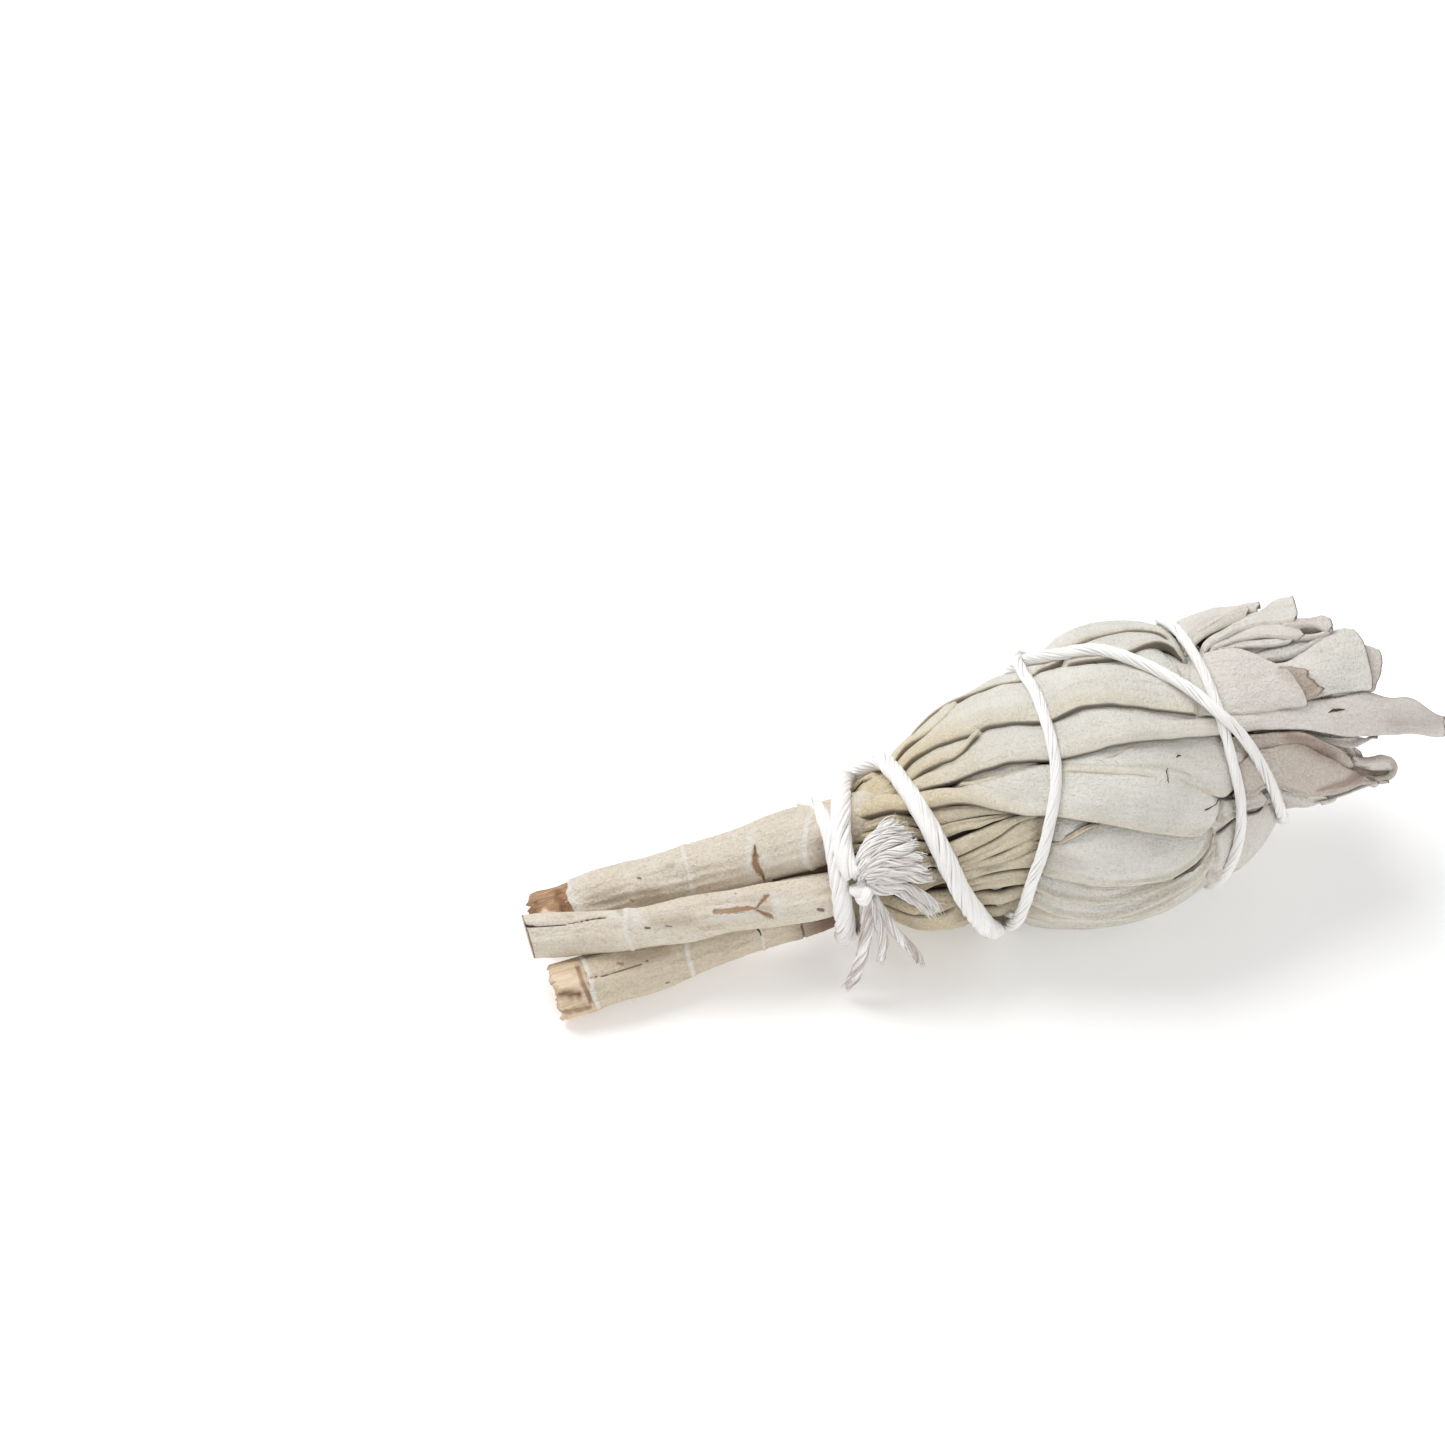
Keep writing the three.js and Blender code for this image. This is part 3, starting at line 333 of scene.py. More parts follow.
# Free leaf ends at the open end, in the same rows
TIPS = [
    leaf("broad tip", "upper", [(-0.1, 0.2, 8), (-0.1, 0.3, 1)], [(498, -55, 476, 272), (514, -50, 497, 288),
        (530, -34, 517, 314), (546, -9, 538, 353), (561, 26, 559, 397), (576, 76, 579, 422), (591, 145, 600, 438),
        (607, 199, 620, 449), (613, 207, 627, 434)], torn=0.3, rim=(0.5, 0.08)),
    leaf("broad tip under", "upper", [(-0.5, -0.2, 5), (-0.4, 0, 1)], [(551, 90, 539, 318), (566, 117, 561, 366),
        (581, 142, 582, 399), (596, 173, 604, 416), (611, 199, 625, 417), (630, 202, 654, 390)], torn=0.4, tone=-0.9,
        blush=1.0),
    leaf("shoulder patch", "upper", (-1.5, -1.3), [(442, -165, 419, 128), (468, -158, 444, 160),
        (493, -142, 468, 192), (518, -106, 493, 225), (543, -51, 518, 263)], torn=0.1),
    leaf("pale tip", "upper", (-0.9, -0.6), [(583, 156, 603, 415), (600, 156, 617, 417), (617, 151, 631, 415),
        (634, 124, 645, 412), (651, 87, 659, 418), (669, 40, 673, 428), (687, -23, 688, 436), (704, -55, 702, 442),
        (721, -9, 716, 451)], torn=0.12, crown=0.5, rim=(0.5, 0.1), lilac=0.1),
    leaf("pale tip behind", "upper", (-1.6, -1.6), [(660, 132, 650, 419), (677, 106, 663, 431), (694, 73, 677, 445),
        (711, 62, 691, 459), (728, 94, 705, 466), (744, 151, 719, 467)], torn=0.25, tone=-0.8, blush=0.5),
    leaf("blue strip", "upper", (-1.4, -1), [(567, 58, 569, 122), (589, 52, 591, 138), (611, 19, 613, 145),
        (633, -12, 636, 119), (654, -30, 658, 68), (676, -42, 681, 9)], blush=-1),
    leaf("curled tip", "upper", (-0.3, -0.2), [(617, -102, 618, -51), (630, -111, 630, -54), (642, -118, 641, -37),
        (654, -124, 653, -42), (666, -131, 665, -33), (679, -148, 676, 5), (690, -118, 688, -6)], torn=0.1, crown=0.7,
        blush=0.4, upper_rim=(0.5, 0.2)),
    leaf("curled tip lip", "upper", (-0.7, -0.6), [(620, -56, 618, 22), (633, -32, 632, 27), (646, -12, 646, 28),
        (659, -5, 659, 26), (673, -16, 673, 18), (687, -40, 688, -7)], torn=0.1, crown=0.5),
    leaf("curled tip shade", "upper", (-2, -2), [(640, -222, 633, -27), (651, -185, 645, -23), (663, -163, 658, -30),
        (674, -148, 671, -45), (686, -137, 684, -64)], tone=-1, torn=0.2, dark=0.25, blush=1),
    leaf("top tip", "upper", [(-0.1, 0.1, 6), (0.1, 0.1, 1), (0.6, 0.1, 1)], [(510, -91, 514, -42),
        (531, -119, 534, -59), (552, -143, 553, -72), (572, -180, 573, -95), (593, -233, 593, -110),
        (616, -325, 612, -108), (638, -422, 631, -95), (657, -425, 651, -98)], torn=0.12, rim=(0.7, 0.15), lilac=0.3),
    leaf("second tip", "upper", (-0.6, -0.2), [(517, -104, 519, -31), (537, -115, 538, -32), (556, -124, 557, -24),
        (576, -143, 575, -16), (595, -165, 594, -11), (614, -170, 612, 3), (633, -153, 630, 35),
        (649, -18, 649, 23)], torn=0.12, rim=(0.7, 0.2), lilac=0.4),
    leaf("third tip", "upper", (-0.9, -0.5), [(523, -92, 525, -18), (545, -84, 547, 1), (567, -67, 569, 26),
        (589, -55, 591, 46), (611, -36, 613, 52), (632, -2, 635, 36)], torn=0.12, rim=(0.6, 0.2), lilac=0.6),
    leaf("rim tip", "upper", (-0.5, 0.1), [(495, -620, 495, -139), (518, -608, 518, -178), (542, -596, 542, -193),
        (566, -584, 566, -211), (589, -568, 589, -242), (613, -550, 613, -265)], torn=0.15, rim=(0.9, 0.3)),
    leaf("rim tip b", "upper", [(-0.4, 0.1, 1), (-0.4, 0.2, 4)], [(499, -221, 494, -98), (524, -295, 519, -126),
        (549, -348, 544, -141), (574, -392, 570, -165), (597, -403, 595, -213)], torn=0.2, rim=(0.7, 0.2)),
    leaf("beak back", "middle", (-0.3, -1.3), [(495, 411, 499, 560), (516, 425, 520, 629), (537, 458, 541, 722),
        (558, 504, 563, 829), (579, 541, 585, 916), (600, 569, 607, 992), (621, 621, 628, 1037),
        (643, 718, 648, 1048), (666, 846, 668, 1036)], torn=0.12, blush=0.9, upper_rim=(0.5, 0.25)),
    leaf("beak front", "middle", [(-0.2, 0.1, 9), (-0.1, 0.3, 1), (0.9, 1.2, 1)], [(506, 564, 507, 715),
        (526, 561, 527, 756), (546, 578, 548, 804), (565, 612, 569, 914), (585, 631, 591, 1010),
        (604, 660, 611, 1079), (625, 745, 631, 1102), (645, 836, 650, 1098), (668, 1000, 670, 1115),
        (693, 1242, 692, 1242), (712, 1248, 711, 1247)], torn=0.1, crown=0.9, blush=0.8, upper_rim=(0.4, 0.18)),
    leaf("beak lip", "middle", [(-1, -1.2, 4), (-1, -0.9, 1), (-1, -0.5, 1), (-1, 0, 1), (-0.1, 1, 1)], [
        (658, 815, 657, 927), (667, 883, 667, 980), (676, 937, 677, 1055), (685, 970, 687, 1156),
        (693, 997, 697, 1243), (702, 1032, 706, 1246), (712, 1108, 714, 1249), (723, 1247, 722, 1254)], torn=0.05,
        rim=(0.4, 0.2), blush=0.3),
    leaf("beak inside", "middle", [(-2.4, -2.1, 1), (-2.4, -1.1, 1), (-2.4, -0.4, 1), (-2, 0.2, 1), (-1.3, 0.7, 1),
        (-0.3, 1.1, 1)], [(643, 848, 652, 1242), (659, 972, 665, 1248), (675, 1106, 677, 1252),
        (692, 1244, 690, 1255), (706, 1249, 702, 1258), (719, 1255, 715, 1260)], tone=-1, dark=0.4, torn=0.1,
        blush=1),
    leaf("under tip", "lower", [(-1.1, -0.7, 2), (-1.1, 0.1, 1), (-0.7, 0.6, 1), (-0.5, 0.5, 1), (-0.3, 0.6, 1),
        (0.4, 0.8, 1)], [(529, 824, 535, 949), (558, 928, 567, 1176), (587, 1093, 595, 1245), (617, 1243, 621, 1247),
        (643, 1244, 647, 1247), (669, 1246, 673, 1248), (695, 1250, 700, 1249)], torn=0.1, rim=(0.5, 0.3)),
    leaf("small tongue", "upper", (-1.9, -1.5), [(608, 604, 610, 677), (627, 660, 629, 704), (647, 712, 648, 768),
        (667, 756, 667, 830), (687, 793, 686, 832), (707, 826, 704, 818)], torn=0.2),
    leaf("small tongue under", "middle", [(-2.6, -2.6, 4), (-2.6, -2.5, 1)], [(637, 752, 640, 905),
        (648, 796, 651, 957), (660, 841, 663, 1034), (671, 885, 676, 1170), (683, 942, 687, 1242)], torn=0.3,
        tone=-0.5),
]
OVERLAP = 1.16  # how much wider a folded leaf base is than what shows of it
# Folded leaf bases at the neck, in the same rows
PETIOLES = [
    edges((0, 0), [(124, 219, 117, 317), (143, 254, 139, 351), (161, 292, 160, 378), (180, 332, 182, 403),
        (199, 374, 203, 419), (217, 406, 224, 430)]),
    edges((0, -0.2), [(123, 331, 124, 430), (144, 358, 143, 441), (164, 386, 162, 450), (184, 411, 181, 468),
        (204, 424, 200, 457), (225, 425, 219, 442)]),
    edges((0, 0), [(128, 474, 132, 575), (146, 478, 151, 579), (165, 480, 169, 574), (183, 479, 187, 562),
        (202, 466, 205, 533), (220, 450, 223, 490), (239, 445, 241, 466), (257, 453, 259, 464)]),
    edges((-0.1, -0.2), [(141, 586, 144, 658), (161, 583, 162, 657), (181, 573, 181, 651), (200, 550, 199, 636),
        (219, 502, 217, 610), (239, 466, 234, 582), (259, 469, 252, 560)]),
    edges((-0.2, -0.3), [(142, 641, 143, 691), (168, 644, 167, 692), (193, 647, 192, 700), (218, 608, 216, 679),
        (243, 556, 240, 648)]),
    edges((0, 0), [(140, 679, 142, 764), (165, 685, 166, 752), (190, 688, 190, 748), (215, 668, 213, 739),
        (240, 638, 237, 735)]),
    edges((0, 0), [(146, 751, 149, 862), (168, 755, 168, 853), (190, 759, 189, 862), (212, 752, 208, 855),
        (234, 753, 228, 842)]),
    edges((-0.2, 0), [(148, 888, 152, 1013), (169, 900, 170, 1020), (189, 923, 189, 1032), (208, 893, 207, 990),
        (228, 863, 225, 948)]),
    edges([(-0.5, 0.5, 1), (-0.5, 0.4, 1), (-0.5, 0.1, 1), (-0.5, -0.4, 2)], [(152, 1075, 156, 1246),
        (172, 1085, 175, 1245), (191, 1093, 195, 1244), (209, 1043, 214, 1241), (228, 1003, 231, 1165)]),
    edges([(1.6, 0.2, 1), (1.4, -0.1, 1), (1, -0.2, 1), (0.3, -0.2, 1), (-0.3, -0.2, 1)], [(54, -432, 50, -424),
        (67, -431, 62, -422), (80, -429, 74, -338), (92, -425, 85, -250), (104, -330, 96, -154)]),
    edges([(-0.1, -0.4, 1), (-0.4, -0.4, 1), (-0.5, -0.4, 3)], [(53, -424, 48, -169), (65, -422, 59, -100),
        (75, -322, 71, -72), (86, -231, 83, -46), (96, -98, 95, -18)]),
    edges((0, 0), [(32, 58, 28, 151), (55, 95, 51, 180), (78, 119, 75, 198), (100, 165, 98, 245),
        (122, 241, 121, 325)]),
    edges((-0.1, -0.1), [(28, 148, 24, 230), (52, 179, 49, 263), (76, 205, 74, 285), (99, 252, 98, 338),
        (123, 341, 123, 427)]),
    edges((-0.1, -0.2), [(24, 246, 20, 333), (50, 284, 48, 373), (76, 311, 75, 397), (102, 372, 103, 461),
        (128, 463, 131, 556)]),
    edges((-0.2, -0.1), [(21, 353, 21, 454), (50, 394, 50, 496), (78, 427, 79, 519), (106, 489, 108, 575),
        (135, 588, 137, 668)]),
    edges((-0.1, -0.2), [(24, 475, 23, 569), (53, 507, 52, 613), (82, 536, 82, 630), (112, 603, 111, 680),
        (142, 704, 142, 778)]),
    edges((0, 0), [(33, 618, 31, 736), (57, 634, 57, 753), (80, 639, 81, 741), (104, 654, 106, 730),
        (129, 706, 132, 784)]),
    edges((-0.3, 0), [(26, 777, 27, 898), (46, 801, 49, 952), (66, 826, 70, 984), (87, 891, 91, 988),
        (108, 983, 113, 1019)]),
    edges([(-0.2, -0.1, 1), (-0.2, 0.1, 1), (-0.2, 0, 1), (-0.2, 0.3, 2), (-0.2, -0.1, 1)], [(31, 941, 35, 1161),
        (54, 1009, 59, 1243), (78, 1027, 82, 1242), (101, 1014, 105, 1243), (124, 1011, 128, 1243),
        (146, 981, 151, 1238)]),
    edges((-0.6, -0.5), [(101, 771, 101, 866), (115, 793, 115, 911), (128, 824, 129, 965), (141, 867, 143, 1033),
        (155, 932, 159, 1129)]),
]
# Strands of the tuft at the knot: radius, then (x, turn, height) along each
STRANDS = [
    (0.72, [(2.1, 54.1, 2), (2.8, 42.5, 2.3), (4.1, 32.8, 2), (5.7, 26.7, 1.6), (7.5, 22.9, 1.3), (9.3, 20.8, 1)]),
    (0.72, [(2.2, 52.7, 2.2), (3.2, 42.9, 2.6), (4.7, 35.6, 2.3), (6.4, 30.4, 1.8), (8.4, 27.6, 1.4),
        (10.2, 27.8, 1.1)]),
    (0.6, [(2.7, 51.6, 2.3), (4, 43.6, 2.8), (5.7, 37.9, 2.4), (7.5, 34.2, 1.9), (9.3, 33.4, 1.4), (10.8, 34.5, 1)]),
    (0.62, [(2.9, 51.7, 2.4), (4.7, 44.9, 2.8), (6.7, 41.2, 2.4), (8.8, 39.1, 1.8), (10.8, 39.1, 1.2)]),
    (0.72, [(3.1, 53.1, 2.4), (5, 48.7, 2.8), (7.2, 46.2, 2.3), (9.2, 46.6, 1.7), (11.4, 49.5, 1.1)]),
    (0.64, [(3.1, 54.5, 2.4), (5.2, 52, 2.6), (7.3, 51.7, 2.2), (9.3, 52.7, 1.6), (11.6, 55.6, 1.1)]),
    (0.6, [(3, 56.7, 2.2), (5.2, 55.3, 2.4), (7.4, 56.1, 2), (9.6, 58.6, 1.4), (11.8, 62.8, 0.9)]),
    (0.62, [(2.8, 58.8, 2.1), (5, 59.9, 2.3), (7.1, 62.5, 1.9), (8.6, 67.1, 1.5), (9.8, 75.8, 1.2),
        (11.2, 88.4, 0.9)]),
    (0.5, [(2.5, 60.9, 2), (4.4, 62.4, 2.2), (6.5, 66, 1.8), (7.8, 71.9, 1.4), (9, 80, 1.1), (10.3, 90.3, 0.8)]),
]

# Turns of the plain folded leaf bases, on the far side and over the top
PLAIN_BASES = [*np.arange(116, 346, 8.5), *np.arange(-72, 0, 8)]

# Leaves on the far side: turn of the middle, half width and x of the tip
BACK_LEAVES = {
    "lower": [(171, 14, 54), (188, 16, 51), (207, 15, 60), (230, 17, 54)],
    "upper": [(252, 15, 60), (273, 17, 55)],
}
# Torn leaf ends there: turn of the middle and x of the tip
BACK_TIPS = {
    "lower": [(128, 64), (150, 68), (176, 64), (202, 71), (228, 66)],
    "upper": [(254, 70), (276, 62), (292, 59)],
}
# Leaf ends inside the open end: how deep each ring lies, how many of them in each sector, and x of their tips
TIP_RINGS = {
    "upper": [(-2.8, 5, 64), (-4.6, 4, 65), (-6.4, 4, 66), (-8.2, 3, 65), (-10, 2, 66), (-11.6, 1, 65)],
    "middle": [(-2.8, 2, 63), (-4.6, 2, 66), (-6.4, 1, 67), (-8.2, 1, 66), (-10, 1, 64), (-11.6, 1, 67)],
    "lower": [(-2.6, 6, 66), (-4.6, 5, 67), (-6.4, 4, 66), (-8.2, 3, 67), (-10, 2, 65), (-11.6, 1, 66)],
}
# Leaves under the far side's outer ones: the turn where each lies
UNDER_LEAVES = {"lower": [92, 108, 124, 140, 157, 174, 191, 208, 226], "upper": [244, 262, 281, 300]}
# The turns between which each stalk's leaves lie
SECTORS = {"upper": (-106, 46), "middle": (36, 90), "lower": (78, 258)}
# How long a cell of each sheet's grid is, and where the seeds of its leaves start
CELL = {"leaf": 0.36, "far leaf": 0.45, "tip": 0.3, "far tip": 0.35, "inner tip": 0.7}
SEED = {"leaf": 500, "far leaf": 700, "under leaf": 760, "tip": 1100, "far tip": 1300, "inner tip": 1600}
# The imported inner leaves: where they start along x, how long they are, and the share that rounds each end
CORE_START, CORE_LENGTH, CORE_ROUND = -8, 63, 0.06
LEAF_NODES = [f"leaves_{name}" for name in SECTORS]
# Dark rods of painted shadow for splits and specks in the leaves, as (x, turn, half width) along each
SPLIT_SHADOWS = [
    [(42.6, 44.2, 0.03), (42.3, 45.5, 0.08), (42.3, 47.1, 0.05), (42.2, 48.6, 0.08), (42.2, 49.9, 0.03)],
    [(45.9, 66.1, 0.12), (46.3, 66.3, 0.11), (47.1, 66.1, 0.05), (47.7, 66.8, 0.08), (48.3, 66.9, 0.06),
        (48.8, 66.8, 0.03)],
    [(44.1, 41.5, 0.06), (44.4, 41.0, 0.11), (44.7, 41.4, 0.04)],
    [(64.6, 50.7, 0.04), (65.4, 50.3, 0.2), (66.1, 50.9, 0.18), (66.9, 51.6, 0.04)],
    [(37.2, -12.1, 0.06), (37.9, -10.8, 0.1), (38.5, -9.0, 0.04)],
]
# Brown patches on the leaves, partly browning and partly painted shade on lower sides and in folds: how strong, and
# (x, turn, half width) along each
BROWNING_AND_SHADE = [
    (0.6, [(61.4, 98.7, 0.5), (63.7, 98.7, 1.0), (66.0, 100.8, 0.9), (68.2, 108.0, 0.6)]),
    (0.35, [(60.7, 24.0, 1.2), (62.3, 29.9, 1.6), (63.3, 37.5, 1.2)]),
    (0.3, [(24.8, 62.0, 1.2), (26.6, 67.7, 1.8), (29.1, 71.8, 0.8)]),
    (0.2, [(43.8, 49.6, 1.0), (46.5, 58.3, 1.5)]),
    (0.5, [(59.0, 58.9, 0.8), (61.9, 68.7, 1.2), (64.1, 79.8, 0.8)]),
    (0.35, [(45.8, 110.0, 1.0), (48.4, 121.7, 0.8)]),
    (0.3, [(72.8, 69.4, 1.5), (78.9, 94.7, 1.5)]),
]
# The rolled lip at the end of the torn leaf below the long tip, as (x, turn, height)
LIP = [
    (66.6, 87.5, -0.9), (67.8, 95.7, -0.9), (69.2, 100.3, -0.9), (70.6, 105.1, -0.9), (71.7, 119.8, -0.9),
    (72.2, 124.7, 0.05), (71.7, 125.1, 0.81), (70.8, 125.1, 0.85), (69.4, 124.7, 0.2), (68.2, 124.2, -0.76),
]

# The picture: its side and the neck's place in pixels, and what one pixel covers at the neck
FRAME_SIDE = 1445
NECK_PIXEL = (830, 855)
PIXEL = 0.127 * MM
FLOOR_HALF = 3.0
# Lamps: name, place, size in metres and power in watts
LAMPS = [("key", (-0.3, 0.35, 0.75), 0.7, 5.5), ("front", (0.3, -0.7, 0.5), 0.6, 1.4)]
DAYLIGHT = 0.5


def smooth(low, high, x):
    """0 below low, 1 above high, and a soft step between."""
    t = np.clip((x - low) / (high - low), 0, 1)
    return t * t * (3 - 2 * t)


def closed(b):
    """The grid's b round a tube, with both sides of the seam at 0."""
    return np.where(b > 0.9999, 0, b)


def facing(turn):
    """The same turn between -180 and 180."""
    return (turn + 180) % 360 - 180


def through(rows, x, column=1):
    """A smooth curve through rows of (x, value, ...), level beyond both ends."""
    table = np.asarray(rows, float)
    at, value = table[:, 0], table[:, column]
    x = np.clip(x, at[0], at[-1])
    slope = np.diff(value) / np.diff(at)
    tangent = np.concatenate([slope[:1], (slope[:-1] + slope[1:]) / 2, slope[-1:]])
    i = np.clip(np.searchsorted(at, x, side="right") - 1, 0, len(at) - 2)
    span = at[i + 1] - at[i]
    t = (x - at[i]) / span
    start = value[i] * (1 + 2 * t) * (1 - t) ** 2 + tangent[i] * span * t * (1 - t) ** 2
    return start + value[i + 1] * t * t * (3 - 2 * t) + tangent[i + 1] * span * t * t * (t - 1)


def on_bundle(x, turn, height):
    """Points at a turn about the bundle's axis, at a height above or below its outline."""
    x, turn, height = np.broadcast_arrays(x, turn, height)
    r = np.maximum(through(OUTLINE, x) + height, 0.2)
    sway = through(SWAY, x)
    off, a = math.radians(FRONT_TURN + 90), np.radians(turn)
    return np.stack([x, -sway * math.sin(off) - r * np.sin(a), sway * math.cos(off) + r * np.cos(a)], axis=-1)


def stroke(x, turn, r, line):
    """How near each place is to a line of (x, turn, half width): 1 on it, 0 at its side, below 0 beyond."""
    nearest = np.full(np.shape(x), -9.0)
    for (x0, t0, w0), (x1, t1, w1) in zip(line, line[1:]):
        across = np.radians(facing(turn - t0)) * r
        long_x, long_t = x1 - x0, math.radians(t1 - t0) * r
        share = np.clip(((x - x0) * long_x + across * long_t) / (long_x**2 + long_t**2 + 1e-9), 0, 1)
        away = np.hypot(x - x0 - share * long_x, across - share * long_t)
        nearest = np.maximum(nearest, 1 - away / (w0 + (w1 - w0) * share))
    return nearest


def on_stalk(line, x, turn, radius):
    """Points at a turn about a stalk's middle line, at a distance from it."""
    a = np.radians(turn)
    return np.stack([x, through(line, x, 1) - radius * np.sin(a), through(line, x, 2) + radius * np.cos(a)], axis=-1)


def to_frame(points):
    """Points in the bundle's own millimetres, moved to the shared frame in metres, none below the table."""
    c, s = math.cos(TILT), math.sin(TILT)
    x, y, z = points[..., 0], points[..., 1], points[..., 2]
    return np.stack([NECK[0] + c * x - s * z, NECK[1] + y, np.maximum(NECK[2] + s * x + c * z, 0.02)], axis=-1) * MM


def ripples(seed, x, s, amount, long, wide, count=6):
    """A repeatable uneven surface, drawn out along the leaf."""
    rng = np.random.default_rng(seed)
    total = np.zeros(np.broadcast(x, s).shape)
    for _ in range(count):
        kx, ks = rng.uniform(0.4, 1.3) / long, rng.uniform(0.5, 1.4) / wide * rng.choice([-1, 1])
        total = total + np.sin(2 * math.pi * (x * kx + s * ks) + rng.uniform(0, 2 * math.pi)) * rng.uniform(0.5, 1.2)
    return total * amount / math.sqrt(count)


def string_x(turn):
    """Where the string is along the axis, at a turn."""
    return through(STRING, turn)


def string_point(turn):
    """The middle of the string at a turn, riding over the turns that it crosses."""
    x = string_x(turn)
    rise = sum(height * np.maximum(0, 1 - ((turn - at) / reach) ** 2) ** 2 for at, reach, height in CROSSINGS)
    return on_bundle(x, turn, through(STRING_RADIUS, turn) - STRING_SINK + rise)


def string_press(x, turn):
    """How far the string presses a leaf in, at each point."""
    r = through(OUTLINE, x)
    most = np.zeros(np.shape(x))
    for winding in range(-1, 7):
        t = turn + 360 * winding
        inside = (t >= STRING[0][0]) & (t <= STRING_END)
        slope = (string_x(t + 3) - string_x(t - 3)) / (np.radians(6) * r)
        away = np.abs(x - string_x(t)) / np.sqrt(1 + slope**2)
        most = np.maximum(most, np.where(inside, PRESS_DEPTH * np.exp(-((away / PRESS_REACH) ** 2)), 0))
    return most


def mesh_of(bm, name):
    """The mesh of a bmesh that is finished with."""
    mesh = bpy.data.meshes.new(name)
    bm.to_mesh(mesh)
    bm.free()
    return mesh


def in_scene(name, data):
    """A new object of a mesh, lamp or camera, linked to the scene."""
    made = bpy.data.objects.new(name, data)
    bpy.context.scene.collection.objects.link(made)
    return made


@functools.cache
def grid(columns, rows):
    """A flat square grid, as (mesh, a, b) with a and b from 0 to 1."""
    bm = bmesh.new()
    bmesh.ops.create_grid(bm, x_segments=columns, y_segments=rows, size=1.0)
    mesh = mesh_of(bm, "grid")
    flat = np.empty(len(mesh.vertices) * 3)
    mesh.vertices.foreach_get("co", flat)
    return mesh, (flat[0::3] + 1) / 2, (flat[1::3] + 1) / 2


class Gathered:
    """Sheets and tubes added one by one, each with its marks, then made one object."""

    def __init__(self):
        self.bm = bmesh.new()

    def add(self, size, place, flip=True):
        """Adds a grid whose points and marks place(a, b) gives in the bundle's millimetres."""
        flat, a, b = grid(*size)
        points, marks = place(a, b)
        mesh = flat.copy()
        mesh.vertices.foreach_set("co", to_frame(points).ravel())
        for name, value in marks.items():
            value = np.asarray(value, np.float32)
            if value.ndim == 2:
                mesh.attributes.new(name, "FLOAT_VECTOR", "POINT").data.foreach_set("vector", value.ravel())
            else:
                whole = np.broadcast_to(value, a.shape).astype(np.float32)
                mesh.attributes.new(name, "FLOAT", "POINT").data.foreach_set("value", whole)
        if flip:
            mesh.flip_normals()
        self.bm.from_mesh(mesh)
        bpy.data.meshes.remove(mesh)

    def tube(self, size, place):
        """Adds a grid rolled into a closed tube: its long edges meet, and its ends are drawn to a point."""
        part = Gathered()
        part.add(size, place, flip=False)
        bmesh.ops.remove_doubles(part.bm, verts=part.bm.verts, dist=1e-7)
        bmesh.ops.recalc_face_normals(part.bm, faces=part.bm.faces)
        mesh = mesh_of(part.bm, "tube")
        self.bm.from_mesh(mesh)
        bpy.data.meshes.remove(mesh)

    def finish(self, name, slot, nodes, material, thickness=0):
        """Makes the piece, with a wall of this thickness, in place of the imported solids."""
        mesh = mesh_of(self.bm, name)
        mesh.polygons.foreach_set("use_smooth", [True] * len(mesh.polygons))
        mesh.materials.append(material)
        piece = in_scene(name, mesh)
        if thickness:
            wall = piece.modifiers.new("leaf thickness", "SOLIDIFY")
            wall.thickness = thickness
            wall.offset = -1
        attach(piece, "root")
        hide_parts(*nodes)


# ---- leaves


def pinch(x):
    """How far the string draws the leaves in at the neck."""
    return 1.2 * (1 - smooth(3.5, 8.5, x))


def leaf_marks(x, along, seed, rim, deep, tone=None, edge=0.0):
    """What the leaf material reads: margin, yellow base, lilac tip, painted crevice shade, torn edge, tone and grain.
    """
    rng = np.random.default_rng(seed + 71)
    return {
        "rim": rim,
        "base": 1 - smooth(7, 27, x),
        "tip": smooth(44, 58, x),
        "deep": deep,
        "edge": edge,
        "tone": rng.uniform(-1, 1) if tone is None else tone,
        "grain": np.stack([x, along, np.full(np.shape(x), seed * 3.7)], axis=-1),
    }


def edges_at(rows, a):
    """Both edges of a leaf at a share of its length: x, turn and height of the upper one, then of the lower."""
    table = np.concatenate([np.arange(len(rows))[:, None], np.asarray(rows, float)], axis=1)
    return [through(table, a * (len(rows) - 1), column) for column in range(1, 7)]


def along_leaf(values, a):
    """A number or a list of them, spread over the leaf's length."""
    return np.interp(a, np.linspace(0, 1, len(values)), values)


